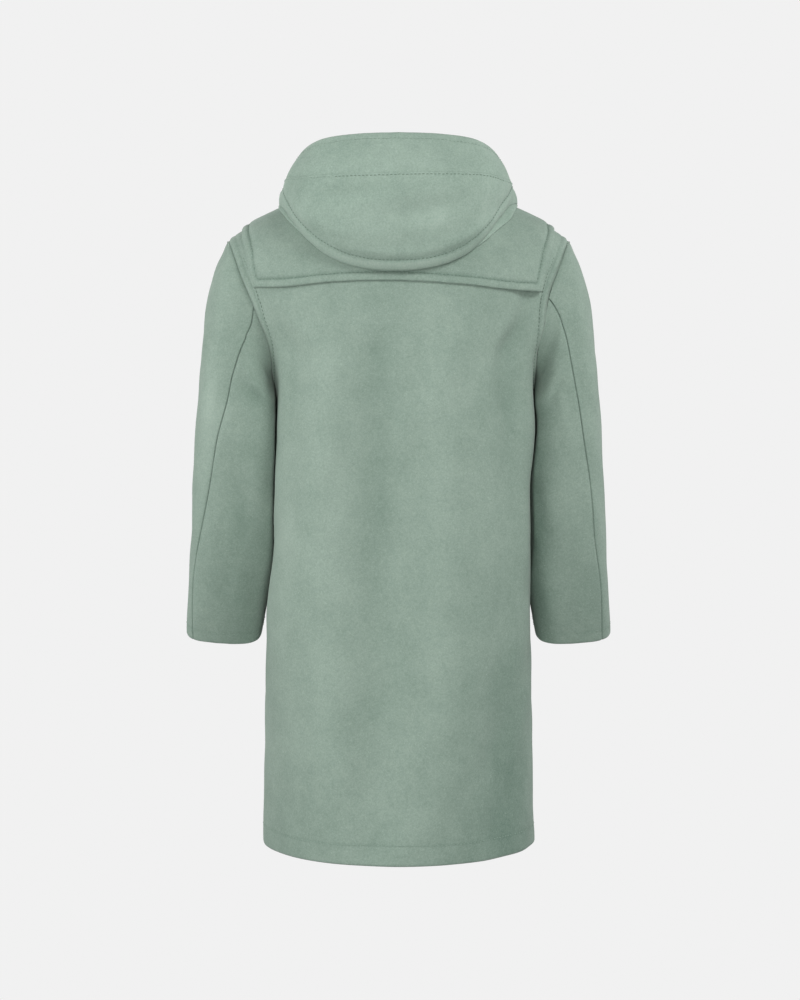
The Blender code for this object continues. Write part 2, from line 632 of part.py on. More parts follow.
def build_hood():
    """The hood: an under layer on the yoke, an upper layer and a crown up to the rim."""
    half = round_the_neck(5, 6, 4)
    angle = np.concatenate((-half[:0:-1], half))
    angle = np.maximum(angle, HOOD_RIGHT_END)
    angle = angle[np.searchsorted(angle, HOOD_RIGHT_END, side="right") - 1:]
    edge_run = read_table(HOOD_SECTIONS, np.abs(angle))[4]
    down = np.linspace(0.0, 1.0, 7)
    run = down[:, None] * (edge_run[None, :] + HOOD_UNDER_MARGIN)
    turns = np.broadcast_to(angle, run.shape).copy()
    clear = front_edge_angle(run[:, 0], OVERLAP + HOOD_END_MARGIN) - 180.0
    turns[:, 0] = np.maximum(turns[:, 0], clear)
    bottom = left_lift(turns, run) + CLOTH + YOKE_GAP + LAYER_GAP
    wall_on("hood_under", torso, turns, run, bottom)
    for name, top, low, rows, edges in (
            ("hood_crown", 0.0, HOOD_SEAM_FALL, 4, ("high_row",)),
            ("hood_upper", HOOD_SEAM_FALL, 1.0, 7, ("low_row",))):
        fall = np.linspace(top, low, rows)[:, None] * np.ones_like(angle)[None, :]
        turns = np.broadcast_to(angle, fall.shape)
        bottom = left_lift(turns, edge_run[None, :] * np.ones_like(fall))
        wall_on(name, hood, turns, fall, bottom, edges)


def build_pocket(name, side):
    """A patch pocket on one front."""
    across = np.linspace(-1.0, 1.0, 9)
    down = np.linspace(-1.0, 1.0, 8)
    across, down = np.meshgrid(across, down)
    corner = np.where(down > 0, POCKET_CORNER, 0.0)
    wide = across * np.sqrt(1.0 - corner * down**2)
    deep = down * np.sqrt(1.0 - corner * across**2)
    middle = (POCKET_FROM_ANGLE + POCKET_TO_ANGLE) / 2
    angle = side * (middle + (POCKET_TO_ANGLE - middle) * wide)
    run = POCKET_TOP_RUN + POCKET_HEIGHT * (deep + 1.0) / 2
    wall_on(name, torso, angle, run, left_lift(angle, run) + LAYER_GAP)


def on_front(x, z, height):
    """Points at a height above the right front's cloth, carried across the centre front."""
    x, z, height = np.broadcast_arrays(np.asarray(x, float), z, height)
    angle, run = locate([0, 2], np.stack((x, z), axis=-1), (180.0 - np.degrees(x / 0.16), -z))
    return raised(torso, angle, run, height)


def smooth_path(points, steps):
    """A smooth line through hand-set points, by Catmull-Rom pieces."""
    points = np.array(points)
    ends = np.concatenate((2 * points[:1] - points[1:2], points, 2 * points[-1:] - points[-2:-1]))
    share = np.linspace(0.0, 1.0, steps, endpoint=False)[:, None]
    line = []
    for one, two, three, four in zip(ends, ends[1:], ends[2:], ends[3:]):
        line.append(0.5 * (2 * two + (three - one) * share
                           + (2 * one - 5 * two + 4 * three - four) * share**2
                           + (3 * two - one - 3 * three + four) * share**3))
    return np.concatenate(line + [points[-1:]])


def add_tube(name, rings, finish):
    """A closed body through rings of points, with flat ends."""
    count, sides = rings.shape[:2]
    faces = []
    for ring in range(count - 1):
        for corner in range(sides):
            here = ring * sides + corner
            after = ring * sides + (corner + 1) % sides
            faces.append((here, after, after + sides, here + sides))
    faces.append(tuple(range(sides - 1, -1, -1)))
    faces.append(tuple(range((count - 1) * sides, count * sides)))
    centre = rings.mean(axis=1)
    first = rings[0, 0] - centre[0]
    second = rings[0, 1] - centre[0]
    if np.dot(np.cross(first, second), centre[1] - centre[0]) < 0:
        faces = [tuple(reversed(face)) for face in faces]
    return add_mesh(name, rings.reshape(-1, 3), faces, finish)


def swept_rings(path, corners, upright=False):
    """Rings of a section along a path of (x, height, z) on the front.

    A corner's first number goes along z, and its second across the path. An upright
    section doesn't turn with the path in z.
    """
    way = np.gradient(path, axis=0)
    way = way / np.linalg.norm(way, axis=-1, keepdims=True)
    rings = []
    for point, ahead in zip(path, way):
        up = np.array([0.0, 0.0, 1.0])
        if not upright:
            up = np.cross(ahead, np.array([0.0, 1.0, 0.0]))
            up = up / np.linalg.norm(up)
        over = np.cross(up, ahead)
        rings.append([point + up * wide + over * deep for wide, deep in corners])
    rings = np.array(rings)
    return on_front(rings[..., 0], rings[..., 2], rings[..., 1])


def circle(radius, sides):
    """Corners of a round section."""
    turn = np.linspace(0.0, 2 * math.pi, sides, endpoint=False)
    return [(radius * math.cos(here), radius * math.sin(here)) for here in turn]


def build_patch(name, x, z, lift):
    """A rounded leather patch lying on a front."""
    grid = np.linspace(-1.0, 1.0, 4)
    across, up = np.meshgrid(grid, grid)
    wide = PATCH_HALF_WIDTH * across * np.sqrt(1.0 - PATCH_ROUNDING * up**2)
    tall = PATCH_HALF_HEIGHT * up * np.sqrt(1.0 - PATCH_ROUNDING * across**2)
    bottom = lift + LAYER_GAP
    inside = on_front(x + wide, z + tall, bottom)
    outside = on_front(x + wide, z + tall, bottom + PATCH_THICKNESS)
    add_wall(name, outside, inside, LEATHER)


def build_strap(name, z):
    """The folded leather strap from its patch to the toggle and back round its groove."""
    half = STRAP_THICKNESS / 2
    low = LAYER_GAP + half
    start_x = STRAP_PATCH_X + PATCH_HALF_WIDTH + SEAM_GAP
    ring = TOGGLE_PROFILE[0][1] + SEAM_GAP + half
    gap = STRAP_THICKNESS + SEAM_GAP
    out = [(x, low + rise + FRONT_LIFT * step, 0.0) for x, rise, step in STRAP_OUT]
    turn = np.radians(np.linspace(STRAP_WRAP_FROM, STRAP_WRAP_TO, 8))
    around = [(TOGGLE_X + ring * math.cos(here), TOGGLE_HEIGHT + ring * math.sin(here), 0.0)
              for here in turn]
    back = [(x, low + gap + rise + FRONT_LIFT * step, 0.0) for x, rise, step in STRAP_BACK]
    lower = smooth_path([(start_x, low, 0.0)] + out, 2)
    upper = smooth_path(back + [(start_x, low + gap, 0.0)], 2)
    path = np.concatenate((lower, around, upper)) + np.array([0.0, 0.0, z])
    wide = STRAP_WIDTH / 2
    corners = [(-wide, -half), (wide, -half), (wide, half), (-wide, half)]
    add_tube(name, swept_rings(path, corners, upright=True), LEATHER)


def build_loop(name, z):
    """The cord loop: two strands from its patch, under the toggle and round its strap."""
    start_x = LOOP_PATCH_X - PATCH_HALF_WIDTH - SEAM_GAP
    low = FRONT_LIFT + LAYER_GAP + CORD_RADIUS
    strand = [(start_x, low, LOOP_START)]
    strand += [(x, low + rise, apart) for x, rise, apart in LOOP_STRAND]
    back = [(x, height, -apart) for x, height, apart in reversed(strand)]
    path = smooth_path(strand + [(LOOP_BEND_X, low + LOOP_BEND_HEIGHT, 0.0)] + back, 2)
    path = path + np.array([0.0, 0.0, z])
    add_tube(name, swept_rings(path, circle(CORD_RADIUS, 5)), CORD)


def build_toggle(name, z):
    """A turned wooden toggle, upright, with a groove round its middle for the strap."""
    profile = [(-along, radius) for along, radius in reversed(TOGGLE_PROFILE)]
    profile += list(TOGGLE_PROFILE)
    nearby = 0.01
    centre = on_front(TOGGLE_X, z, TOGGLE_HEIGHT)
    up = on_front(TOGGLE_X, z + nearby, TOGGLE_HEIGHT) - centre
    up = up / np.linalg.norm(up)
    right = np.cross(up, on_front(TOGGLE_X, z, 0.0) - centre)
    right = right / np.linalg.norm(right)
    out = np.cross(right, up)
    rings = [[centre + right * x + out * y + up * along for x, y in circle(radius, 8)]
             for along, radius in profile]
    add_tube(name, np.array(rings), WOOD)


def build_fastenings():
    """Four toggles down the front, each with its strap, loop and two patches."""
    for number, z in enumerate(TOGGLE_Z, start=1):
        build_patch(f"loop_patch_{number}", LOOP_PATCH_X, z, FRONT_LIFT)
        build_patch(f"strap_patch_{number}", STRAP_PATCH_X, z, 0.0)
        build_strap(f"toggle_strap_{number}", z)
        build_loop(f"toggle_loop_{number}", z)
        build_toggle(f"toggle_{number}", z)


clear_scene()
build_back()
build_front("front_left", 1)
build_front("front_right", -1)
build_yoke()
build_sleeve("left", 1)
build_sleeve("right", -1)
build_hood()
build_pocket("pocket_left", 1)
build_pocket("pocket_right", -1)
build_fastenings()
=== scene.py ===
import math
import bpy
import numpy as np
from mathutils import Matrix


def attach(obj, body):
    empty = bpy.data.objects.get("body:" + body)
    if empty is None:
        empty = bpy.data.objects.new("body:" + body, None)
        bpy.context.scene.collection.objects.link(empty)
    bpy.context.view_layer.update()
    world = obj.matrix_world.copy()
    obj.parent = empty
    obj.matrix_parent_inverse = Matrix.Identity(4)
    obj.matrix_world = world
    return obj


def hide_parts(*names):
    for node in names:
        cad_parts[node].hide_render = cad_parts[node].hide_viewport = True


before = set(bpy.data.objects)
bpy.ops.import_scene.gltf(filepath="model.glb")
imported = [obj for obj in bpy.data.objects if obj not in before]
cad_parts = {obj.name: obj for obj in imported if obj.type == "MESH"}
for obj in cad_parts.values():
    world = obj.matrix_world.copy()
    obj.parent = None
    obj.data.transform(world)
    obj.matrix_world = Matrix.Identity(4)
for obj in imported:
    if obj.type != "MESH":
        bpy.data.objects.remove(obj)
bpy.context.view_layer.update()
print("frame loaded:", len(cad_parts), "nodes")

scene = bpy.context.scene
scene.view_settings.view_transform = "Standard"

studio = {
    "cameraPlace": (-0.00225, 2.4, -0.465), "lens": 57.6, "sensor": 36.0, "skyTone": 0.22, "aim": (0.0, 0.0, -0.42),
    "backdropTone": 0.879, "floorHeight": -1.47, "floorRadius": 2.0, "wallRadius": 5.0, "wallHeight": 12.0,
    "sweepRadius": 1.0, "sweepSteps": 13, "roundSteps": 64,
    # soft round lamps: name, place, width, power
    "lamps": (("backLow", (0.0, 3.0, -0.6), 2.0, 50.0), ("backHigh", (-1.8, 2.0, 1.6), 1.4, 52.0),
              ("leftSide", (2.9, 0.6, 0.3), 2.0, 66.0),
              ("frontHigh", (1.2, -2.7, 1.2), 2.0, 58.0), ("frontLow", (-0.2, -3.0, -0.6), 2.0, 30.0),
              ("frontSide", (-2.7, -1.2, 0.4), 2.0, 46.0))}


def setInputs(node, values):
    for key, value in values.items():
        node.inputs[key].default_value = value


def addAreaLight(name, place, size, power):
    lamp = bpy.data.lights.new(name, "AREA")
    lamp.shape = "DISK"
    lamp.size = size
    lamp.energy = power
    made = bpy.data.objects.new(name, lamp)
    scene.collection.objects.link(made)
    made.location = place
    towards = np.array(studio["aim"]) - np.array(place)
    flat = math.hypot(towards[0], towards[1])
    made.rotation_euler = (math.atan2(flat, -towards[2]), 0.0, math.atan2(-towards[0], towards[1]))


def makeStudio():
    camera = bpy.data.objects.new("camera", bpy.data.cameras.new("camera"))
    scene.collection.objects.link(camera)
    camera.location = studio["cameraPlace"]
    camera.rotation_euler = (math.radians(90), 0.0, math.radians(180))  # level, looking along -Y
    camera.data.lens = studio["lens"]
    camera.data.sensor_width = studio["sensor"]
    scene.camera = camera
    world = bpy.data.worlds.new("studioSky")
    world.use_nodes = True
    setInputs(world.node_tree.nodes["Background"], {"Color": (1.0, 1.0, 1.0, 1.0), "Strength": studio["skyTone"]})
    scene.world = world
    for lamp in studio["lamps"]:
        addAreaLight(*lamp)


def makeBackdrop():
    # one round sheet of paper in an even tone: flat below, then a quarter circle up to a wall all round
    paper = bpy.data.materials.new("paper")
    paper.use_nodes = True
    tone = studio["backdropTone"]
    setInputs(paper.node_tree.nodes["Principled BSDF"], {
        "Base Color": (0.0, 0.0, 0.0, 1.0), "Roughness": 1.0, "Specular IOR Level": 0.0,
        "Emission Color": (tone, tone, tone, 1.0), "Emission Strength": 1.0})
    wall, sweep = studio["wallRadius"], studio["sweepRadius"]
    turn = np.linspace(0.0, math.pi / 2, studio["sweepSteps"])
    out = np.concatenate(([0.0, studio["floorRadius"]], wall + sweep * np.sin(turn), [wall + sweep]))
    height = np.concatenate(([0.0, 0.0], sweep * (1.0 - np.cos(turn)), [studio["wallHeight"]])) + studio["floorHeight"]
    around = np.linspace(0.0, 2 * math.pi, studio["roundSteps"], endpoint=False)[:, None]
    vertices = np.stack((out * np.cos(around), out * np.sin(around), height + 0.0 * around), axis=-1)
    index = np.arange(vertices.size // 3).reshape(vertices.shape[:2])
    after = np.roll(index, -1, axis=0)
    faces = np.stack((index[:, :-1], index[:, 1:], after[:, 1:], after[:, :-1]), axis=-1).reshape(-1, 4)
    mesh = bpy.data.meshes.new("backdrop")
    mesh.from_pydata(vertices.reshape(-1, 3).tolist(), [], faces.tolist())
    mesh.materials.append(paper)
    backdrop = bpy.data.objects.new("backdrop", mesh)
    scene.collection.objects.link(backdrop)
    for ray in ("visible_diffuse", "visible_glossy", "visible_shadow"):
        setattr(backdrop, ray, False)


makeStudio()
makeBackdrop()
print("studio ready")

finishes = {
    "woolColour": (0.282, 0.362, 0.306), "woolDeep": (0.206, 0.279, 0.231), "woolFleck": (0.46, 0.56, 0.48),
    "woolRoughness": 0.93, "woolShine": 0.12, "woolSheen": 0.1, "sheenRoughness": 0.6, "woolBump": (0.55, 0.0006),
    "turnedNap": 1.13,  # painted light: the hood's wool is made paler, standing in for the extra light the hood catches
    # noises in the wool: name, scale, detail, roughness, distortion
    "noises": (("cloud", 14.0, 2.0, 0.5, 0.0), ("patch", 58.0, 2.0, 0.55, 0.4), ("mottle", 190.0, 3.0, 0.6, 0.3),
               ("grain", 430.0, 3.0, 0.65, 0.4), ("fibre", 1050.0, 1.0, 0.5, 1.2), ("speck", 330.0, 1.0, 0.5, 1.0)),
    # what each adds to the dark or the pale share: name, noise from, noise to, least, most
    "darker": (("cloud", 0.35, 0.65, 0.0, 0.35), ("patch", 0.3, 0.7, 0.0, 0.22), ("mottle", 0.3, 0.7, 0.0, 0.28),
               ("grain", 0.34, 0.66, -0.08, 0.54)),
    "paler": (("fibre", 0.63, 0.72, 0.0, 0.34), ("speck", 0.68, 0.76, 0.0, 0.17)),
    "pressedAndShadeShare": 0.8, "heights": (("grain", 0.5), ("mottle", 1.0), ("fibre", 0.35)),
    "threadColour": (0.1, 0.152, 0.118), "faintThread": (0.19, 0.26, 0.212), "threadShine": 1.35,
    "leatherColour": (0.07, 0.034, 0.018), "leatherDeep": (0.03, 0.014, 0.008),
    "woodColour": (0.3, 0.155, 0.065), "woodDeep": (0.14, 0.062, 0.025),
    "cordColour": (0.12, 0.145, 0.115), "cordDeep": (0.06, 0.075, 0.058)}


def nodeIn(tree, kind, place, **settings):
    made = tree.nodes.new(kind)
    made.location = place
    for key, value in settings.items():
        setattr(made, key, value)
    return made


def feed(tree, socket, value):
    # a link, a colour or a number
    if isinstance(value, bpy.types.NodeSocket):
        tree.links.new(value, socket)
    else:
        socket.default_value = (*value, 1.0) if isinstance(value, tuple) else value


def noiseNode(tree, place, vector, scale, detail=2.0, roughness=0.5, distortion=0.0):
    made = nodeIn(tree, "ShaderNodeTexNoise", place)
    setInputs(made, {"Scale": scale, "Detail": detail, "Roughness": roughness, "Distortion": distortion})
    feed(tree, made.inputs["Vector"], vector)
    return made.outputs["Fac"]


def rangeNode(tree, place, value, low, high, toLow=0.0, toHigh=1.0):
    made = nodeIn(tree, "ShaderNodeMapRange", place)
    setInputs(made, {"From Min": low, "From Max": high, "To Min": toLow, "To Max": toHigh})
    feed(tree, made.inputs["Value"], value)
    return made.outputs["Result"]


def mathNode(tree, place, operation, first, second):
    made = nodeIn(tree, "ShaderNodeMath", place, operation=operation)
    feed(tree, made.inputs[0], first)
    feed(tree, made.inputs[1], second)
    return made.outputs[0]


def sumNodes(tree, place, terms):
    total = terms[0]
    for step, term in enumerate(terms[1:]):
        total = mathNode(tree, (place[0] + 120 * step, place[1]), "ADD", total, term)
    return total


def mixColour(tree, place, factor, first, second):
    made = nodeIn(tree, "ShaderNodeMix", place, data_type="RGBA")
    for key, value in ((0, factor), (6, first), (7, second)):
        feed(tree, made.inputs[key], value)
    return made.outputs[2]


def newGroup(name, inputs, outputs):
    group = bpy.data.node_groups.new(name, "ShaderNodeTree")
    for label, kind, value in inputs:
        socket = group.interface.new_socket(name=label, in_out="INPUT", socket_type=kind)
        if value is not None:
            socket.default_value = value
    for label, kind in outputs:
        group.interface.new_socket(name=label, in_out="OUTPUT", socket_type=kind)
    return group, nodeIn(group, "NodeGroupInput", (-1200, 0)), nodeIn(group, "NodeGroupOutput", (700, 0))


def makeMeltonGroup():
    # milled wool: colour mixed to deep by cloud + patch + mottle + grain + 0.8 * pressed (stitch pressing plus painted
    # shade, and painted light where below 0), then to fleck by fibre + speck; height = 0.5 * grain + mottle + 0.35 *
    # fibre
    colour, number = "NodeSocketColor", "NodeSocketFloat"
    group, into, out = newGroup("milledWool", [
        ("Vector", "NodeSocketVector", None), ("Colour", colour, (*finishes["woolColour"], 1.0)),
        ("Deep", colour, (*finishes["woolDeep"], 1.0)), ("Fleck", colour, (*finishes["woolFleck"], 1.0)),
        ("PressedAndPaintedShade", number, 0.0)], [("Colour", colour), ("Roughness", number), ("Height", number)])
    noises = {name: noiseNode(group, (-950, 500 - 180 * row), into.outputs["Vector"], *settings)
              for row, (name, *settings) in enumerate(finishes["noises"])}
    darker, paler = ([rangeNode(group, (-750, top - 180 * row), noises[name], *limits)
                      for row, (name, *limits) in enumerate(finishes[key])]
                     for key, top in (("darker", 500), ("paler", -220)))
    darker.append(mathNode(group, (-750, 680), "MULTIPLY", into.outputs["PressedAndPaintedShade"], finishes["pressedAndShadeShare"]))
    heights = [mathNode(group, (-750, -600 - 160 * row), "MULTIPLY", noises[name], share)
               for row, (name, share) in enumerate(finishes["heights"])]
    base = mixColour(group, (0, 200), sumNodes(group, (-550, 300), darker),
                     into.outputs["Colour"], into.outputs["Deep"])
    base.node.clamp_factor = False  # painted shade past 1 goes darker than the deep tone, painted light below 0 paler than the colour
    pale = mixColour(group, (200, 200), sumNodes(group, (-550, -220), paler), base, into.outputs["Fleck"])
    feed(group, out.inputs["Colour"], pale)
    feed(group, out.inputs["Roughness"], rangeNode(group, (200, -50), noises["grain"], 0.3, 0.7, 0.88, 0.98))
    feed(group, out.inputs["Height"], sumNodes(group, (-550, -600), heights))
    return group


def plainMaterial(name, roughness):
    made = bpy.data.materials.new(name)
    made.use_nodes = True
    tree = made.node_tree
    shader = tree.nodes["Principled BSDF"]
    setInputs(shader, {"Roughness": roughness})
    return made, tree, shader, nodeIn(tree, "ShaderNodeTexCoord", (-1300, 0)).outputs["Object"]


def addBump(tree, shader, height, strength, distance):
    bump = nodeIn(tree, "ShaderNodeBump", (-200, -300))
    setInputs(bump, {"Strength": strength, "Distance": distance})
    feed(tree, bump.inputs["Height"], height)
    feed(tree, shader.inputs["Normal"], bump.outputs["Normal"])


def makeWool(name, group, shade=1.0):
    made, tree, shader, where = plainMaterial(name, finishes["woolRoughness"])
    pressedAndPaintedShade = nodeIn(tree, "ShaderNodeAttribute", (-900, -250), attribute_name="pressedAndPaintedShade")
    wool = nodeIn(tree, "ShaderNodeGroup", (-600, 0))
    wool.node_tree = group
    for socket, value in (("Vector", where), ("PressedAndPaintedShade", pressedAndPaintedShade.outputs["Fac"]),
                          ("Colour", tuple(shade * part for part in finishes["woolColour"])),
                          ("Deep", tuple(shade * part for part in finishes["woolDeep"]))):
        feed(tree, wool.inputs[socket], value)
    feed(tree, shader.inputs["Base Color"], wool.outputs["Colour"])
    feed(tree, shader.inputs["Roughness"], wool.outputs["Roughness"])
    setInputs(shader, {"Specular IOR Level": finishes["woolShine"], "Sheen Weight": finishes["woolSheen"],
                       "Sheen Roughness": finishes["sheenRoughness"]})
    addBump(tree, shader, wool.outputs["Height"], *finishes["woolBump"])
    return made


def makeThread(name, colour):
    made, tree, shader, where = plainMaterial(name, 0.75)
    twist = noiseNode(tree, (-700, 0), where, 1500.0, 1.0)
    lit = tuple(finishes["threadShine"] * part for part in colour)
    feed(tree, shader.inputs["Base Color"], mixColour(tree, (-300, 0), twist, colour, lit))
    return made


def twoTones(tree, shader, pattern, name):
    # colour = from the finish's colour to its deep one, as the pattern goes from 0.3 to 0.7
    share = rangeNode(tree, (-600, 100), pattern, 0.3, 0.7)
    feed(tree, shader.inputs["Base Color"],
         mixColour(tree, (-400, 100), share, finishes[name + "Colour"], finishes[name + "Deep"]))


def makeLeather():
    made, tree, shader, where = plainMaterial("leather", 0.5)
    cells = nodeIn(tree, "ShaderNodeTexVoronoi", (-850, -200), feature="DISTANCE_TO_EDGE")
    setInputs(cells, {"Scale": 900.0})
    feed(tree, cells.inputs["Vector"], where)
    crease = rangeNode(tree, (-650, -200), cells.outputs["Distance"], 0.0, 0.18)
    patch = noiseNode(tree, (-850, 150), where, 70.0, 3.0, 0.6)
    twoTones(tree, shader, patch, "leather")
    feed(tree, shader.inputs["Roughness"], rangeNode(tree, (-450, -50), patch, 0.2, 0.8, 0.42, 0.62))
    height = mathNode(tree, (-450, -250), "ADD", crease, mathNode(tree, (-650, -400), "MULTIPLY", patch, 0.6))
    addBump(tree, shader, height, 0.5, 0.0003)
    return made


def makeWood():
    made, tree, shader, where = plainMaterial("turnedWood", 0.4)
    stretch = nodeIn(tree, "ShaderNodeMapping", (-1100, 0))
    setInputs(stretch, {"Scale": (1.0, 1.0, 0.09)})  # the grain runs along the toggle
    feed(tree, stretch.inputs["Vector"], where)
    bands = noiseNode(tree, (-850, 100), stretch.outputs["Vector"], 520.0, 4.0, 0.6, 1.6)
    pores = noiseNode(tree, (-850, -150), stretch.outputs["Vector"], 2600.0, 2.0, 0.5)
    twoTones(tree, shader, bands, "wood")
    feed(tree, shader.inputs["Roughness"], rangeNode(tree, (-400, -50), bands, 0.3, 0.7, 0.34, 0.5))
    setInputs(shader, {"Coat Weight": 0.25, "Coat Roughness": 0.25})
    addBump(tree, shader, pores, 0.35, 0.0003)
    return made


def makeCord():
    made, tree, shader, where = plainMaterial("plaitedCord", 0.8)
    fibres = noiseNode(tree, (-850, 0), where, 1600.0, 2.0, 0.6)
    twoTones(tree, shader, fibres, "cord")
    addBump(tree, shader, fibres, 0.4, 0.0003)
    return made


melton = makeMeltonGroup()
wool = makeWool("melton", melton)
# the hood gets a paler copy of the wool: painted light
hoodWoolPaintedLight = makeWool("meltonPaintedLight", melton, finishes["turnedNap"])
thread = makeThread("thread", finishes["threadColour"])
faintThread = makeThread("faintThread", finishes["faintThread"])
leather = makeLeather()
wood = makeWood()
cord = makeCord()
print("finishes ready")

cloth = {"thickness": 0.003, "layerGap": 0.0007, "yokeGap": 0.002}

# columns: run, half width, back depth, front depth, back z, side z, front z, squareness behind and before
torsoLevels = np.array([
    (0.0, 0.09, 0.075, 0.092, -0.022, 0.0, -0.08, 2.0, 2.0),
    (0.05, 0.136, 0.099, 0.108, -0.066, -0.017, -0.112, 2.05, 2.05),
    (0.1, 0.184, 0.115, 0.119, -0.108, -0.036, -0.142, 2.1, 2.1),
    (0.15, 0.229, 0.125, 0.127, -0.147, -0.06, -0.172, 2.2, 2.2),
    (0.18, 0.252, 0.13, 0.131, -0.17, -0.078, -0.19, 2.25, 2.25),
    (0.215, 0.256, 0.134, 0.134, -0.195, -0.113, -0.21, 2.3, 2.3),
    (0.26, 0.236, 0.139, 0.138, -0.228, -0.176, -0.238, 2.35, 2.35),
    (0.31, 0.203, 0.143, 0.141, -0.264, -0.242, -0.268, 2.6, 2.45),
    (0.35, 0.191, 0.146, 0.143, -0.292, -0.288, -0.293, 3.1, 2.6),
    (0.43, 0.1915, 0.15, 0.147, -0.37, -0.37, -0.37, 3.7, 2.8),
    (0.525, 0.194, 0.153, 0.151, -0.465, -0.465, -0.465, 3.7, 2.85),
    (0.675, 0.195, 0.159, 0.157, -0.615, -0.615, -0.615, 3.2, 2.7),
    (0.825, 0.1985, 0.168, 0.166, -0.765, -0.765, -0.765, 2.45, 2.4),
    (1.032, 0.2025, 0.181, 0.178, -0.972, -0.972, -0.972, 2.0, 2.0)])

body = {
    "hemRun": 1.032, "foldStart": 0.07, "foldEnd": 0.16,
    "slowBelow": 0.3,  # folds that start below this run set in slowly
    # long soft folds: angle, spread at the top, spread at the hem, depth, from run, to run
    "folds": ((-45.5, 5.5, 16.0, -0.0095, 0.235, 1.06), (-57.5, 6.0, 9.0, 0.0036, 0.25, 0.75),
              (-50.0, 10.0, 20.0, -0.005, 0.55, 1.12), (62.0, 10.0, 15.0, -0.0036, 0.6, 1.12),
              (44.0, 7.5, 7.5, -0.0044, 0.235, 0.62), (9.0, 6.5, 10.0, -0.0086, 0.24, 1.08),
              (28.0, 8.0, 11.0, 0.0048, 0.24, 1.05), (-20.0, 8.0, 11.0, 0.0064, 0.24, 1.05)),
    # dents: angle, run, spread in degrees, spread along, depth, slant in degrees per metre
    "dents": ((62.0, 0.33, 7.0, 0.075, -0.003, 90.0), (74.0, 0.42, 5.0, 0.09, -0.0022, 40.0),
              (-66.0, 0.33, 6.0, 0.07, -0.003, -90.0), (-75.0, 0.4, 5.0, 0.08, -0.002, -30.0),
              (36.0, 0.56, 8.0, 0.15, 0.0012, 20.0), (-20.0, 0.62, 9.0, 0.18, -0.001, 10.0),
              (-34.0, 0.9, 7.0, 0.16, 0.0016, -14.0), (24.0, 0.86, 8.0, 0.16, 0.0012, 12.0),
              (118.0, 0.33, 7.0, 0.075, -0.0028, -90.0), (-118.0, 0.33, 7.0, 0.075, -0.0028, 90.0),
              (110.0, 0.62, 8.0, 0.2, -0.0016, 20.0), (-112.0, 0.56, 8.0, 0.18, -0.0016, -20.0),
              (140.0, 0.9, 9.0, 0.16, 0.0016, 10.0), (-142.0, 0.88, 9.0, 0.16, 0.0014, -10.0)),
    # patches of painted shade (strength above 0) and painted light (below 0): angle, run, spread in degrees, spread
    # along, strength, slant
    "paintedShadeAndLight": ((-54.0, 0.99, 24.0, 0.27, 1.45, 0.0), (60.0, 1.06, 24.0, 0.13, 0.3, 0.0),
            (-46.0, 0.33, 5.5, 0.13, 0.6, 0.0), (-63.0, 0.33, 7.0, 0.07, -0.6, 0.0),
            (0.0, 1.07, 50.0, 0.07, 0.25, 0.0), (8.0, 0.48, 6.0, 0.3, 0.3, 0.0),
            (46.0, 0.33, 4.0, 0.08, 0.3, 0.0), (26.0, 0.58, 9.0, 0.3, -0.34, 0.0),
            (-17.0, 0.58, 8.0, 0.3, -0.34, 0.0), (48.0, 0.6, 7.0, 0.24, -0.38, 0.0),
            (150.0, 1.02, 30.0, 0.16, 0.25, 0.0)),
    "lumps": 0.0004,
    "armholeTop": -0.078, "armholeBottom": -0.29, "armholeBack": 0.076, "armholeFront": 0.078,
    "overlap": 0.04, "overlapEase": 0.045, "overlapMargin": 0.022}
body["frontLift"] = cloth["thickness"] + cloth["yokeGap"]

yoke = {"backHeight": -0.153, "frontHeight": -0.16, "leftCorner": 0.2078, "leftDip": 0.005,
        "rightCorner": 0.2025, "rightDip": 0.0118, "frontCorner": 0.204, "shoulderRun": 0.15, "lapMargin": 0.003,
        "stitch": 0.0115, "stitchSwell": (0.0013, 0.0009), "edgeThick": -0.0004, "settle": 0.03, "pucker": 0.0003,
        "end": 172.0, "fanFrom": 130.0, "length": 0.2, "step": 0.0042,
        "columns": (62, 34, 46),  # behind, over half an armhole, in front
        # how far the back edge hangs below its middle: angle, dip
        "dips": np.array([(-60.0, 0.0112), (-50.0, 0.0118), (-38.0, 0.0118), (-19.0, 0.0045), (0.0, 0.0),
                          (20.0, 0.0014), (38.0, 0.0074), (52.0, 0.005), (60.0, 0.0044)]),
        # how its side edge falls from the shoulder to a corner: share of the angle, share of the run
        "sides": np.array([(0.0, 0.0), (0.25, 0.045), (0.42, 0.11), (0.65, 0.24), (0.78, 0.33), (0.883, 0.46),
                           (0.93, 0.61), (0.96, 0.77), (1.0, 1.0)])}


def softStep(share):
    share = np.clip(share, 0.0, 1.0)
    return share * share * (3.0 - 2.0 * share)


def bell(distance, at, wide=0.002):
    # exp(-(offset / wide)^2): one at a place and fading beside it
    return np.exp(-((distance - at) / wide) ** 2)


def readTable(rows, place):
    # smooth cubic pieces through the rows of a table, for whole arrays of places
    place = np.asarray(place, float)
    knots = rows[:, 0]
    slopes = np.gradient(rows, knots, axis=0)
    place = np.clip(place, knots[0], knots[-1])
    row = np.clip(np.searchsorted(knots, place, side="right") - 1, 0, len(knots) - 2)
    span = (knots[row + 1] - knots[row])[..., None]
    share = (place[..., None] - knots[row][..., None]) / span
    value = (2 * share**3 - 3 * share**2 + 1) * rows[row] + (share**3 - 2 * share**2 + share) * span * slopes[row]
    value = value + (3 * share**2 - 2 * share**3) * rows[row + 1] + (share**3 - share**2) * span * slopes[row + 1]
    return np.moveaxis(value, -1, 0)


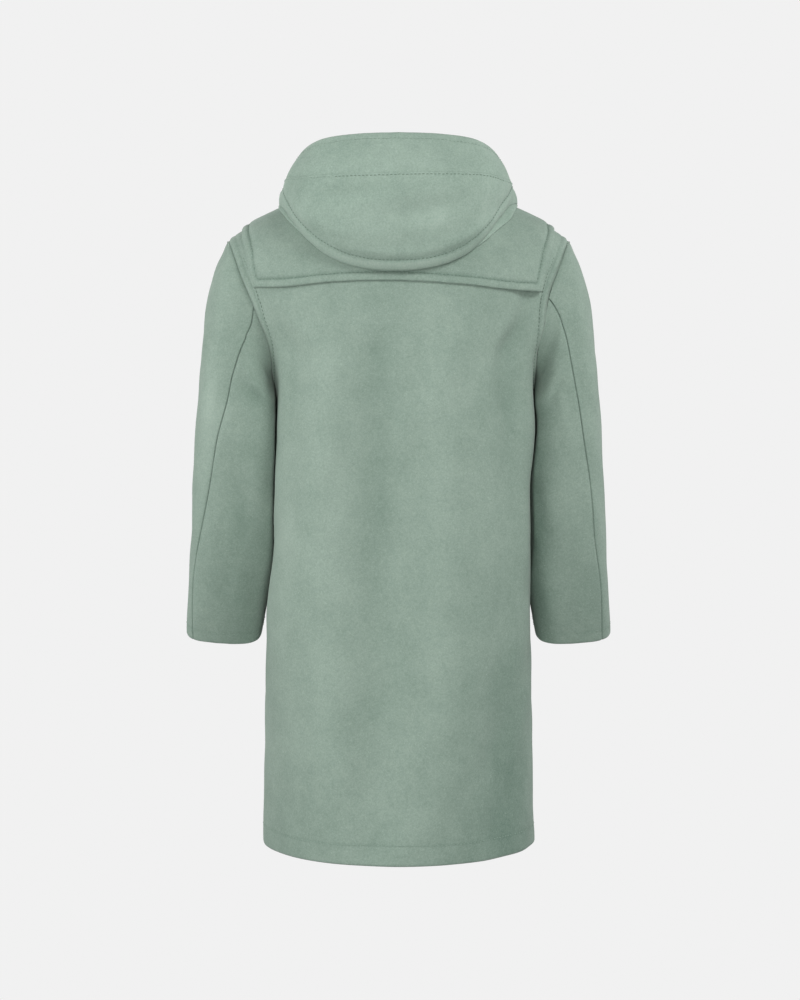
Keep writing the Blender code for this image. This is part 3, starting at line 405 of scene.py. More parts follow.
def lumps(angle, along, seed, waves=14):
    # a sum of waves that close on themselves round the body, each with its own turn and length
    chance = np.random.default_rng(seed)
    total = np.zeros(np.broadcast(angle, along).shape)
    for _ in range(waves):
        around = chance.integers(2, 18)
        length = chance.uniform(20.0, 75.0) * chance.choice((-1.0, 1.0))
        total = total + np.sin(np.radians(angle) * around + along * length + chance.uniform(0.0, 6.28))
    return total / math.sqrt(waves / 2)


def dentsAt(first, second, table):
    # the sum of depth * exp(-across^2 - down^2): long rounded hollows or ridges, or soft patches of painted shade and
    # light, each leaning by its slant
    total = np.zeros(np.broadcast(first, second).shape)
    for atFirst, atSecond, spreadFirst, spreadSecond, depth, slant in table:
        down = second - atSecond
        across = first - atFirst - slant * down
        total = total + depth * np.exp(-(across / spreadFirst) ** 2 - (down / spreadSecond) ** 2)
    return total


def torso(angle, run):
    # x = half width * sin / k, y = depth * cos / k, with k = (|sin|^p + |cos|^p)^(1/p), then the folds
    angle, run = np.broadcast_arrays(np.asarray(angle, float), np.asarray(run, float))
    _, halfWidth, back, front, backZ, sideZ, frontZ, behind, before = readTable(torsoLevels, run)
    sine, cosine = np.sin(np.radians(angle)), np.cos(np.radians(angle))
    square = np.where(cosine > 0, behind, before)
    corner = (np.abs(sine)**square + np.abs(cosine)**square) ** (1.0 / square)
    x = halfWidth * sine / corner
    y = np.where(cosine > 0, back, front) * cosine / corner
    z = sideZ + (np.where(cosine > 0, backZ, frontZ) - sideZ) * cosine**2
    fold = dentsAt(angle, run, body["dents"]) + body["lumps"] * lumps(angle, run, 7) * softStep(run / 0.1)
    for centre, topSpread, hemSpread, depth, fromRun, toRun in body["folds"]:
        start = body["foldStart"] if fromRun < body["slowBelow"] else 2.0 * body["foldEnd"]
        rise = softStep((run - fromRun) / start) * softStep((toRun - run) / body["foldEnd"])
        spread = topSpread + (hemSpread - topSpread) * np.clip((run - fromRun) / (body["hemRun"] - fromRun), 0.0, 1.0)
        fold = fold + depth * rise * bell(angle, centre, spread)
    fold = 1.0 + fold / np.hypot(x, y)
    return np.stack((x * fold, y * fold, z), axis=-1)


def unit(vectors):
    return vectors / np.maximum(np.linalg.norm(vectors, axis=-1, keepdims=True), 1e-9)


def normalsOf(surface, first, second, firstStep=0.05, secondStep=0.0005):
    # outward = change with the first coordinate x change with the second one, made one long
    along = surface(first + firstStep, second) - surface(first - firstStep, second)
    down = surface(first, second + secondStep) - surface(first, second - secondStep)
    return unit(np.cross(along, down))


def locate(axes, target, guess):
    # Newton steps to the (angle, run) where two coordinates of the torso have the target values
    target = np.asarray(target, float)
    angle = np.broadcast_to(np.asarray(guess[0], float), target.shape[:-1]).copy()
    run = np.broadcast_to(np.asarray(guess[1], float), target.shape[:-1]).copy()
    angleStep, runStep = 0.02, 0.0002
    for _ in range(30):
        here = torso(angle, run)[..., axes]
        byAngle = (torso(angle + angleStep, run)[..., axes] - here) / angleStep
        byRun = (torso(angle, run + runStep)[..., axes] - here) / runStep
        miss = target - here
        size = byAngle[..., 0] * byRun[..., 1] - byAngle[..., 1] * byRun[..., 0]
        turn = (miss[..., 0] * byRun[..., 1] - miss[..., 1] * byRun[..., 0]) / size
        move = (byAngle[..., 0] * miss[..., 1] - byAngle[..., 1] * miss[..., 0]) / size
        angle = angle + np.clip(turn, -10.0, 10.0)
        run = np.clip(run + np.clip(move, -0.04, 0.04), 0.0, body["hemRun"])
    return angle, run


def armhole(turn, grow=0.0):
    # an oval seen from the side: turn 0 is the shoulder tip, 90 the back, 180 the underarm
    turn = np.radians(turn)
    middle = (body["armholeTop"] + body["armholeBottom"]) / 2
    half = (body["armholeTop"] - body["armholeBottom"]) / 2 + grow
    depth = np.where(np.sin(turn) > 0, body["armholeBack"], body["armholeFront"]) + grow
    target = np.stack((depth * np.sin(turn), middle + half * np.cos(turn)), axis=-1)
    return locate([1, 2], target, (90.0 - 30.0 * np.sin(turn), 0.27 - 0.08 * np.cos(turn)))


def frontReach(run, reach):
    # degrees past the centre front to a straight edge at a reach in x
    return np.degrees(np.arcsin(reach / readTable(torsoLevels, run)[1]))


def leftLift(angle, run):
    # the wearer's left front is raised to lie over the right one
    reach = body["overlap"] + body["overlapMargin"] + body["overlapEase"]
    share = softStep((reach - torso(angle, run)[..., 0]) / body["overlapEase"])
    return np.where(angle > 90.0, body["frontLift"] * share, 0.0)


def onTorso(angle, run):
    # points of the torso, its outward directions, and the lift of the wearer's left front
    return torso(angle, run), normalsOf(torso, angle, run), leftLift(angle, run)


armTurns = np.linspace(-180.0, 180.0, 721)
armRim = torso(*armhole(armTurns))
underarmRun = float(armhole(180.0)[1])
tipRun = float(armhole(0.0)[1])
print("form ready")

sewing = {"pitch": 0.0056, "length": 0.004, "radius": 0.00052, "rise": 0.00034, "wander": 0.00022, "turn": 0.05,
          "rings": 5, "corners": 5, "freeTuck": 0.0014, "sewnTuck": 0.0001, "sleeveTuck": 0.00075,
          "sewnBulge": 0.05, "sharpAngle": 62.0, "rimTurns": (36.0, 72.0, 108.0, 144.0), "grooveWide": 0.0017,
          "swellShare": 0.35, "swellFrom": 0.009, "swellWide": 0.006, "besideSeam": 0.006, "besideWide": 0.005}
# the edges of a grid: where each lies, and the line of points next to it
edgePlaces = {"firstRow": (np.s_[0], np.s_[1]), "lastRow": (np.s_[-1], np.s_[-2]),
              "firstColumn": (np.s_[:, 0], np.s_[:, 1]), "lastColumn": (np.s_[:, -1], np.s_[:, -2])}


def graded(length, step, marks):
    # places from 0 to length, closer together near each mark: (place, reach, finest step)
    place = np.linspace(0.0, length, 4000)
    dense = np.full_like(place, 1.0 / step)
    for at, reach, finest in marks:
        dense = np.maximum(dense, 1.0 / step + (1.0 / finest - 1.0 / step) * np.exp(-((place - at) / reach) ** 4))
    total = np.concatenate(([0.0], np.cumsum((dense[1:] + dense[:-1]) / 2 * np.diff(place))))
    return np.interp(np.linspace(0.0, total[-1], int(round(total[-1])) + 1), total, place)


def distanceTo(points, line):
    # shortest distance from every point to a closely sampled line
    flat = points.reshape(-1, 3)
    best = np.full(len(flat), np.inf)
    for start in range(0, len(line), 40):
        part = line[start:start + 40]
        square = (flat**2).sum(1)[:, None] + (part**2).sum(1)[None, :] - 2.0 * flat @ part.T
        best = np.minimum(best, square.min(axis=1))
    return np.sqrt(np.maximum(best, 0.0)).reshape(points.shape[:-1])


def lengthsAlong(line):
    return np.concatenate(([0.0], np.cumsum(np.linalg.norm(np.diff(line, axis=0), axis=1))))


def placesOn(line, along, places):
    # the points of a line at some of its lengths
    return np.stack([np.interp(places, along, line[:, axis]) for axis in range(3)], axis=-1)


def denseLine(points, step=0.0012):
    # the same line with a point at every step
    along = lengthsAlong(points)
    return placesOn(points, along, np.linspace(0.0, along[-1], max(2, int(along[-1] / step))))


def distanceToEdges(points, *edges):
    return distanceTo(points, np.concatenate([denseLine(points[edgePlaces[edge][0]]) for edge in edges]))


def stitchedEdge(distance, at, puff, dip):
    # a padded strip between the edge and its stitching, a narrow dip at the stitching, a low swell beyond
    strip = puff * np.sin(math.pi * np.clip(distance / at, 0.0, 1.0) ** 0.75)
    beyond = sewing["swellShare"] * puff * bell(distance, at + sewing["swellFrom"], sewing["swellWide"])
    return strip - dip * bell(distance, at, sewing["grooveWide"]) + beyond


def seamValley(distance, puff, dip, narrow=0.002):
    # cloth rolls down into a sewn seam and stands a little proud beside it
    return puff * bell(distance, sewing["besideSeam"], sewing["besideWide"]) - dip * bell(distance, 0.0, narrow)


def tucked(points, edges, sewn, columns="sewnTuck"):
    # moves the edges of a grid inward, to leave room for their rolled rims
    points = points.copy()
    for edge in edges:
        amount = sewing[columns if "Column" in edge else "sewnTuck"] if edge in sewn else sewing["freeTuck"]
        outer, inner = edgePlaces[edge]
        way = points[inner] - points[outer]
        size = np.linalg.norm(way, axis=-1, keepdims=True)
        points[outer] += way / size * np.minimum(amount, 0.7 * size)
    return points


# where the coat leans sideways in its armpits: z where the lean starts, is full, is last full and is gone, then
# its centre in x, its spread and its shift in x
armpitLeans = ((-0.17, -0.4, -0.52, -0.635, 0.188, 0.04, -0.011),
               (-0.135, -0.24, -0.335, -0.45, -0.2, 0.04, -0.013))


def leaned(points):
    # x + the sum of bell-shaped shifts, each faded in and out between its heights
    x, z = points[:, 0], points[:, 2]
    moved = points.copy()
    for start, full, lastFull, gone, centre, spread, most in armpitLeans:
        fade = softStep((start - z) / (start - full)) * softStep((z - gone) / (lastFull - gone))
        moved[:, 0] += most * fade * bell(x, centre, spread)
    return moved


def addMesh(name, vertices, faces, material, pressedAndPaintedShade=None):
    mesh = bpy.data.meshes.new(name)
    mesh.from_pydata(leaned(vertices).tolist(), [], faces)
    mesh.shade_smooth()
    mesh.set_sharp_from_angle(angle=math.radians(sewing["sharpAngle"]))  # only the butted edges of sewn seams
    mesh.materials.append(material)
    if pressedAndPaintedShade is not None:
        # per point: stitch pressing, plus painted shade (above 0) and painted light (below 0)
        layer = mesh.attributes.new("pressedAndPaintedShade", "FLOAT", "POINT")
        layer.data.foreach_set("value", np.asarray(pressedAndPaintedShade, np.float32))
    made = bpy.data.objects.new(name, mesh)
    scene.collection.objects.link(made)
    return made


def addShell(name, outside, inside, material, pressedAndPaintedShade, sewn):
    # a closed sheet of cloth: outer grid, inner grid, and a rounded rim carried round the border
    # (half-round on a free edge, and only just rounded where the edge is sewn to a neighbour)
    rows, columns = outside.shape[:2]
    count = rows * columns
    index = np.arange(count).reshape(rows, columns)
    quads = np.stack((index[:-1, :-1], index[:-1, 1:], index[1:, 1:], index[1:, :-1]), axis=-1).reshape(-1, 4)
    border = np.concatenate((index[0, :], index[1:, -1], index[-1, -2::-1], index[-2:0:-1, 0]))
    away = np.zeros_like(outside)
    bulge = np.ones((rows, columns))
    for edge, (outer, inner) in edgePlaces.items():
        away[outer] += unit(outside[outer] - outside[inner])
        if edge in sewn:
            bulge[outer] = sewing["sewnBulge"]
    away = unit(away.reshape(-1, 3)[border]) * bulge.reshape(-1, 1)[border]
    top, low = (grid.reshape(-1, 3)[border] for grid in (outside, inside))
    middle, half = (top + low) / 2, (top - low) / 2
    away = away * np.linalg.norm(half, axis=-1, keepdims=True)
    turns = np.radians(sewing["rimTurns"])
    vertices = np.concatenate([outside.reshape(-1, 3), inside.reshape(-1, 3)]
                              + [middle + half * math.cos(turn) + away * math.sin(turn) for turn in turns])
    loops = [border] + [2 * count + k * len(border) + np.arange(len(border)) for k in range(len(turns))]
    loops.append(border + count)
    faces = [quads, quads[:, ::-1] + count]
    for here, after in zip(loops, loops[1:]):
        faces.append(np.stack((np.roll(here, -1), here, after, np.roll(after, -1)), axis=-1))
    faces = np.concatenate(faces)
    row, column = rows // 2, columns // 2
    along = outside[row, column + 1] - outside[row, column]
    up = outside[row + 1, column] - outside[row, column]
    if np.dot(np.cross(along, up), outside[row, column] - inside[row, column]) < 0:
        faces = faces[:, ::-1]
    shade = np.concatenate((pressedAndPaintedShade.ravel(), np.zeros(len(vertices) - count)))
    return addMesh(name, vertices, faces.tolist(), material, shade)


def layCloth(name, points, out, top, bottom, material, pressedAndPaintedShade, edges, sewn, columns="sewnTuck"):
    # makes a shell between two heights over a surface, with its edges tucked in, hangs it on the root and hides
    # the solid of the same name
    outside = points + out * top[..., None]
    laid = tucked(outside, edges, sewn, columns)
    inside = tucked(points + out * bottom[..., None], edges, sewn)
    piece = addShell("cloth_" + name, laid, inside, material, pressedAndPaintedShade, sewn)
    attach(piece, "root")
    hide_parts(name)
    return outside, laid


def crossing(points, normals, distance, at):
    # the line on a grid where the distance from the last row first reaches a value, column by column
    flipped = distance[::-1]
    row = np.argmax(flipped >= at, axis=0)
    column = np.arange(distance.shape[1])
    kept = row > 0
    row = np.maximum(row, 1)
    near, far = flipped[row - 1, column], flipped[row, column]
    share = np.clip((at - near) / np.maximum(far - near, 1e-9), 0.0, 1.0)[:, None]
    place, out = (grid[::-1][row - 1, column] * (1 - share) + grid[::-1][row, column] * share
                  for grid in (points, normals))
    return place[kept], unit(out)[kept]


stitchStore = []
faintStore = []


def sewLine(points, out, store=stitchStore):
    # stitches laid end to end along a line: centre, direction, outward direction
    along = lengthsAlong(points)
    count = int(along[-1] / sewing["pitch"])
    if count < 2:
        return
    places = (np.arange(count) + 0.5) * along[-1] / count
    reach = sewing["pitch"] / 2
    chance = np.random.default_rng(count)
    outward = unit(placesOn(out, along, places))
    ahead = unit(placesOn(points, along, places + reach) - placesOn(points, along, places - reach))
    aside = np.cross(outward, ahead)
    centre = placesOn(points, along, places) + aside * chance.normal(0.0, sewing["wander"], (count, 1))
    ahead = unit(ahead + aside * chance.normal(0.0, sewing["turn"], (count, 1)))
    store.append((centre, ahead, outward))


def sewAlong(points, normals, distance, at, store=stitchStore, way=1):
    # a line of stitches at a distance from the last row of a grid, or from the first one where way is -1
    sewLine(*crossing(points[::way], normals[::way], distance[::way], at), store)


def sewAll(name, material, store=stitchStore):
    # every stitch is one short bent thread: rings of corners, dipping at both ends
    centre, ahead, outward = (np.concatenate(parts) for parts in zip(*store))
    store.clear()
    rings, corners = sewing["rings"], sewing["corners"]
    place = np.linspace(-1.0, 1.0, rings)
    turn = np.linspace(0.0, 2 * math.pi, corners, endpoint=False)
    radius = (sewing["radius"] * np.sqrt(1.0 - 0.75 * place**2))[:, None]
    rise = (sewing["rise"] * (1.0 - 2.2 * place**4))[:, None]
    vertices = centre[:, None]
    for way, size in ((ahead, np.repeat(place * sewing["length"] / 2, corners)),
                      (np.cross(outward, ahead), (radius * np.cos(turn)).ravel()),
                      (outward, (radius * np.sin(turn) + rise).ravel())):
        vertices = vertices + way[:, None] * size[None, :, None]
    ring = np.arange(corners)
    side = np.stack((ring, np.roll(ring, -1), np.roll(ring, -1) + corners, ring + corners), axis=-1)
    step = rings * corners * np.arange(len(centre))[:, None, None]
    faces = []
    for part in (np.concatenate([side + corners * row for row in range(rings - 1)]), ring[None, ::-1],
                 ring[None] + corners * (rings - 1)):
        faces += (part[None] + step).reshape(-1, part.shape[1]).tolist()
    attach(addMesh(name, vertices.reshape(-1, 3), faces, material), "root")


panels = {"hemStitch": 0.026, "hemTurn": 0.034, "hemThick": 0.0018, "armholeStitch": 0.0125, "edgeStitch": 0.01,
          "step": 0.0044, "height": 1.1, "backWidth": 0.3, "frontWidth": 0.34, "seamTop": 0.34,
          "sideShare": 0.66, "neckShare": 0.42, "topBend": 6,
          # puff and dip of each stitched edge and seam
          "hemSwell": (0.0002, 0.00012), "edgeSwell": (0.0007, 0.0007), "sideSwell": (0.0003, 0.0004),
          "armholeSwell": (0.0009, 0.0006), "armholeSink": -0.0003, "hemSink": -0.0001, "edgeSink": -0.0002,
          # how the cloth sinks under the yoke, and once more at the yoke's corner: depth, fade below, fade above
          "sinkBelow": 0.016, "underYoke": (0.0012, 0.045, 0.014), "underCorner": (0.0085, 0.048, 0.014),
          "cornerAngle": -45.5, "cornerSpread": 6.0,
          # how dark the nap lies in the stitching of armhole, hem and front edge
          "holePressed": 0.7, "hemPressed": 0.3, "edgePressed": 0.8}


def sideRun(up):
    # run of the side seam, from the hem to the underarm
    return body["hemRun"] + (underarmRun - body["hemRun"]) * np.clip(up / panels["sideShare"], 0.0, 1.0)


def sideLine(turnFrom, up):
    # up the side seam from the hem, then round half of the armhole to the shoulder tip
    joint = panels["sideShare"]
    turn = turnFrom * (1.0 - np.clip((up - joint) / (1.0 - joint), 0.0, 1.0))
    holeAngle, holeRun = armhole(turn)
    return np.where(up > joint, holeAngle, 90.0), np.where(up > joint, holeRun, sideRun(up))


def middleRun(up):
    # level with the side seam from the hem to the underarm, then evenly up to the neck
    joint = panels["sideShare"]
    return sideRun(up) * np.where(up > joint, 1.0 - (up - joint) / (1.0 - joint), 1.0)


def panelNet(innerAngle, innerRun, turnFrom, neckStart, across, up):
    # rows run from the inner edge to the side, and bend near the top to meet neck and shoulder
    outerAngle, outerRun = sideLine(turnFrom, up)
    neck = np.clip(across / panels["neckShare"], 0.0, 1.0)
    out = np.clip((across - panels["neckShare"]) / (1.0 - panels["neckShare"]), 0.0, 1.0)
    net = []
    for inner, outer, top in ((innerAngle, outerAngle, neckStart + (90.0 - neckStart) * neck),
                              (innerRun, outerRun, tipRun * out)):
        row = (1.0 - across) * inner[:, None] + across * outer[:, None]
        net.append(row + (top - row[-1]) * (up**panels["topBend"])[:, None])
    return net


def panelUps():
    # shares up the panel: close rows at the hem stitching and near the top edge
    length = panels["height"]
    marks = [(0.0, 0.004, 0.0018), (panels["hemStitch"], 0.004, 0.0014), (length, 0.006, 0.002)]
    return graded(length, panels["step"], marks) / length


def panelAcross(width, innerMarks):
    # shares across it: close columns at its marks and at the armhole stitching
    marks = innerMarks + [(width, 0.005, 0.002), (width - panels["armholeStitch"], 0.006, 0.0024)]
    return graded(width, panels["step"], marks) / width


def clothThickness(run):
    # the hem is turned up inside, so the wall is thicker below its stitching
    turnUp = softStep((run - (body["hemRun"] - panels["hemTurn"])) / 0.003)
    return cloth["thickness"] + panels["hemThick"] * turnUp


def underYoke(angle, points, hole):
    # depth * bell, with one width below the yoke's edge and one above it, fading out at the armhole
    below = yoke["backHeight"] - points[..., 2] - panels["sinkBelow"]
    sink, corner = (depth * bell(below, 0.0, np.where(below > 0.0, fadeBelow, fadeAbove))
                    for depth, fadeBelow, fadeAbove in (panels["underYoke"], panels["underCorner"]))
    corner = corner * bell(angle, panels["cornerAngle"], panels["cornerSpread"])
    return (sink * (points[..., 1] > 0.02) + corner) * softStep((hole - 0.008) / 0.02)


def buildPanel(name, angle, run, tucks):
    # the torso's surface, raised and sunk along its stitching and seams
    points, out, lift = onTorso(angle, run)
    toHem = body["hemRun"] - run
    folded = np.concatenate((np.abs(points[..., :1]), points[..., 1:]), axis=-1)  # both sides as the left one
    hole = distanceTo(folded, armRim)
    side = distanceTo(folded, torso(90.0, np.linspace(panels["seamTop"], body["hemRun"], 560)))
    stitched = panels["armholeStitch"]
    puff, dip = panels["armholeSwell"]
    height = stitchedEdge(toHem, panels["hemStitch"], *panels["hemSwell"]) + seamValley(side, *panels["sideSwell"])
    height = height + puff * np.sin(math.pi * np.clip(hole / stitched, 0.0, 1.0)) ** 2 * (hole < stitched)
    height = height - dip * bell(hole, stitched)
    pressedAndPaintedShade = panels["holePressed"] * bell(hole, stitched) + panels["hemPressed"] * bell(toHem, panels["hemStitch"])
    # painted shade and painted light in broad soft patches over the panel
    pressedAndPaintedShade = pressedAndPaintedShade + dentsAt(angle, run, body["paintedShadeAndLight"])
    if "firstColumn" not in tucks:  # the free edge of a front
        edge = distanceToEdges(points, "firstColumn")
        height = height + stitchedEdge(edge, panels["edgeStitch"], *panels["edgeSwell"])
        pressedAndPaintedShade = pressedAndPaintedShade + panels["edgePressed"] * bell(edge, panels["edgeStitch"])
    middle = lift - underYoke(angle, points, hole)
    layCloth(name, points, out, middle + height, middle - clothThickness(run), wool, pressedAndPaintedShade, tucks, tucks)


def sewOn(angle, run, height, store=stitchStore):
    # stitches along a line of the torso
    points, out, lift = onTorso(angle, run)
    sewLine(points + out * (lift + height)[..., None], out, store)


def sewArmhole(side, start, end):
    # stitching parallel to the armhole, on the body
    angle, run = armhole(np.linspace(start, end, 400), panels["armholeStitch"])
    sewOn(side * angle, run, panels["armholeSink"])


def buildBack():
    half = panelAcross(panels["backWidth"], [])
    up = panelUps()
    angle, run = panelNet(0.0 * up, middleRun(up), 180.0, 0.0, half, up)
    angle = np.concatenate((-angle[:, :0:-1], angle), axis=1)
    run = np.concatenate((run[:, :0:-1], run), axis=1)
    buildPanel("back", angle, run, ("firstColumn", "lastColumn", "lastRow"))
    for side in (-1, 1):
        sewArmhole(side, 172.0, 52.0)
    sewOn(np.linspace(-89.0, 89.0, 700), body["hemRun"] - panels["hemStitch"], panels["hemSink"], faintStore)


def buildFront(name, side):
    across = panelAcross(panels["frontWidth"], [(0.0, 0.004, 0.002), (panels["edgeStitch"], 0.005, 0.0018)])
    up = panelUps()
    run = middleRun(up)
    edgeAngle, neckStart = (180.0 + frontReach(place, body["overlap"]) for place in (run, 0.0))
    angle, run = panelNet(edgeAngle, run, -180.0, neckStart, across, up)
    buildPanel(name, side * angle, run, ("lastColumn", "lastRow"))
    sewArmhole(side, -172.0, -52.0)
    around = np.linspace(91.0, 192.0, 420)
    around = side * around[around < 180.0 + frontReach(1.0, body["overlap"] - 0.01)]
    sewOn(around, body["hemRun"] - panels["hemStitch"], panels["hemSink"], faintStore)
    down = np.linspace(0.18, body["hemRun"] - 0.012, 600)
    sewOn(side * (180.0 + frontReach(down, body["overlap"] - panels["edgeStitch"])), down, panels["edgeSink"])


buildBack()
buildFront("front_left", 1)
buildFront("front_right", -1)
sewAll("stitchesBody", thread)
sewAll("stitchesHem", faintThread, faintStore)
print("back and fronts ready")


def runAtHeight(angle, height):
    # halving down each line of the torso until it has the height, for a whole array of angles
    low = np.zeros_like(angle)
    high = np.full_like(angle, body["hemRun"])
    for _ in range(40):
        middle = (low + high) / 2
        above = torso(angle, middle)[..., 2] > height
        low = np.where(above, middle, low)
        high = np.where(above, high, middle)
    return low


def yokeCorners(side):
    # angle and run of the corner behind and of the one in front
    corner, dip = (yoke["leftCorner"], yoke["leftDip"]) if side > 0 else (yoke["rightCorner"], yoke["rightDip"])
    back = locate([0, 2], np.array([side * corner, yoke["backHeight"] - dip]), (side * 56.0, 0.21))
    front = locate([0, 2], np.array([side * yoke["frontCorner"], yoke["frontHeight"]]), (side * 125.0, 0.2))
    return [abs(float(value)) for value in (*back, *front)]


def yokeEdge(angle):
    # run of the yoke's outer edge: nearly level behind and in front, falling beside each armhole
    away = np.abs(angle)
    behind = away < 90.0
    level = np.where(behind, yoke["backHeight"] - readTable(yoke["dips"], angle)[1], yoke["frontHeight"])
    edge = runAtHeight(angle, level)
    for side in (-1, 1):
        backAngle, backRun, frontAngle, frontRun = yokeCorners(side)
        share = (away - 90.0) / (np.where(behind, backAngle, frontAngle) - 90.0)
        share = np.interp(share, yoke["sides"][:, 0], yoke["sides"][:, 1])
        beside = yoke["shoulderRun"] + (np.where(behind, backRun, frontRun) - yoke["shoulderRun"]) * share
        edge = np.where((angle * side >= 0) & (away > backAngle) & (away < frontAngle), beside, edge)
    return edge


def evenly(side, start, end, count):
    # angles that lie evenly along the yoke's edge between two of them
    angle = side * np.linspace(start, end, 500)
    along = lengthsAlong(torso(angle, yokeEdge(angle)))
    return np.abs(np.interp(np.linspace(0.0, along[-1], count), along, angle))


def buildYoke():
    parts = []
    behind, beside, before = yoke["columns"]
    for side in (-1, 1):
        backAngle, _, frontAngle, _ = yokeCorners(side)
        parts.append(side * np.concatenate((
            np.linspace(0.0, backAngle, behind)[:-1], evenly(side, backAngle + 0.01, 90.0, beside)[:-1],
            evenly(side, 90.0, frontAngle - 0.01, beside)[:-1], np.linspace(frontAngle, yoke["end"], before))))
    around = np.concatenate((parts[0][:0:-1], parts[1]))
    length, stitch = yoke["length"], yoke["stitch"]
    down = graded(length, yoke["step"], [(length, 0.004, 0.0018), (length - stitch, 0.005, 0.0014)]) / length
    # the outer columns fan out, to finish on the straight edges of the two fronts
    endRun = down * yokeEdge(np.array([179.0]))[0]
    leftEnd = 180.0 + frontReach(endRun, body["overlap"])
    rightEnd = frontReach(endRun, body["overlap"] + yoke["lapMargin"]) - 180.0
    leftShare, rightShare = (np.clip((side * around - yoke["fanFrom"]) / (yoke["end"] - yoke["fanFrom"]), 0.0, 1.0)
                             for side in (1, -1))
    angle = around + leftShare * (leftEnd - yoke["end"])[:, None] + rightShare * (rightEnd + yoke["end"])[:, None]
    run = down[:, None] * yokeEdge(angle[-1])
    points, out, lift = onTorso(angle, run)
    edges = ("lastRow", "firstColumn", "lastColumn")
    free = distanceToEdges(points, *edges)
    gap = cloth["layerGap"] / 2
    bottom = lift + gap + (cloth["yokeGap"] - gap) * softStep(free / yoke["settle"])
    pucker = np.sin(angle * 17.0 + 2.0 * np.sin(angle * 3.1)) * bell(free, stitch, 0.006)
    thick = cloth["thickness"] + yoke["edgeThick"] * (1.0 - softStep((free - stitch) / 0.004))
    height = stitchedEdge(free, stitch, *yoke["stitchSwell"]) + yoke["pucker"] * pucker
    outside, _ = layCloth("yoke", points, out, bottom + thick + height, bottom, wool, bell(free, stitch), edges, ())
    sewAlong(outside, out, free, stitch)


buildYoke()
sewAll("stitchesYoke", thread)
print("yoke ready")

# columns: way, inner x, inner z, outer x, outer z, half depth, middle y, slope, left seam, right seam
sleeveRings = np.array([
    (0.0, 0.1932, -0.2908, 0.2517, -0.074, 0.076, 0.0003, 0.0, 91.0, 84.0),
    (0.04, 0.1915, -0.2945, 0.259, -0.09, 0.077, 0.001, 0.0, 100.0, 87.0),
    (0.1, 0.189, -0.3, 0.27, -0.114, 0.0785, 0.002, 0.0, 101.5, 88.5),
    (0.2, 0.1865, -0.307, 0.284, -0.165, 0.08, 0.003, 0.0, 97.5, 86.0),
    (0.3, 0.184, -0.314, 0.2905, -0.22, 0.08, 0.004, 0.0, 91.0, 81.0),
    (0.38, 0.1825, -0.322, 0.294, -0.266, 0.079, 0.005, 0.0, 85.0, 76.0),
    (0.46, 0.1825, -0.336, 0.297, -0.31, 0.0775, 0.005, 0.0, 81.0, 71.5),
    (0.56, 0.1835, -0.384, 0.3015, -0.369, 0.074, 0.004, 0.03, 70.0, 65.5),
    (0.67, 0.1855, -0.446, 0.306, -0.438, 0.07, 0.0, 0.1, 62.5, 58.0),
    (0.78, 0.188, -0.512, 0.31, -0.506, 0.065, -0.008, 0.18, 52.0, 55.0),
    (0.88, 0.193, -0.575, 0.3145, -0.57, 0.059, -0.021, 0.26, 42.0, 49.0),
    (0.95, 0.2, -0.6225, 0.319, -0.6195, 0.0535, -0.034, 0.34, 44.0, 49.0),
    (1.0, 0.2085, -0.664, 0.3225, -0.6565, 0.049, -0.048, 0.38, 48.0, 50.5)])

sleeveLook = {
    "square": 2.4, "lowSquare": 3.2, "blend": 0.1, "frontSeam": -124.0, "bodyGap": 0.0012, "underarmMargin": 0.004,
    "cuffStitch": 0.016, "cuffTurn": 0.024, "cuffThick": 0.0018, "length": 0.6, "step": 0.0046, "lumps": 0.0004,
    "cuffSwell": (0.0002, 0.0002), "seamSwell": (0.0003, 0.0007, 0.0013), "headSwell": 0.0012, "nearBody": 0.2,
    "cuffPressed": 0.3, "lowFrom": 0.22, "lowOver": 0.3,
    # patches of painted shade (strength above 0) and painted light (below 0): turn, way, spread in degrees, spread
    # along, strength, slant
    "leftNap": ((100.0, 0.92, 34.0, 0.15, 0.34, 0.0), (120.0, 0.42, 15.0, 0.06, 0.8, 60.0),
                (56.0, 0.5, 14.0, 0.11, -0.9, 0.0),
                (102.0, 0.71, 14.0, 0.08, 0.5, 90.0), (96.0, 0.55, 12.0, 0.06, -0.2, 60.0)),
    "rightNap": ((138.0, 0.76, 21.0, 0.34, 1.5, 0.0), (60.0, 0.95, 40.0, 0.1, 0.25, 0.0)),
    # dents: turn, way, spread in degrees, spread along, depth, slant in degrees per length
    "leftDents": ((118.0, 0.41, 14.0, 0.06, -0.005, 150.0), (104.0, 0.71, 18.0, 0.085, -0.006, 120.0),
                  (128.0, 0.9, 17.0, 0.06, -0.0042, 90.0), (92.0, 0.55, 12.0, 0.08, 0.0026, 60.0),
                  (-40.0, 0.62, 16.0, 0.045, -0.0022, 80.0), (-90.0, 0.55, 18.0, 0.06, -0.0026, 120.0),
                  (10.0, 0.78, 16.0, 0.06, -0.0012, 60.0), (-120.0, 0.74, 18.0, 0.06, -0.0024, -90.0)),
    "rightDents": ((114.0, 0.4, 14.0, 0.07, -0.0042, 120.0), (132.0, 0.72, 20.0, 0.2, -0.007, 30.0),
                   (104.0, 0.86, 16.0, 0.07, -0.002, 60.0), (88.0, 0.58, 12.0, 0.09, 0.0016, 60.0),
                   (-46.0, 0.66, 16.0, 0.05, -0.0022, 60.0), (-96.0, 0.52, 18.0, 0.06, -0.0026, 110.0),
                   (16.0, 0.84, 16.0, 0.06, -0.0012, 80.0), (-118.0, 0.78, 18.0, 0.06, -0.0024, -80.0))}


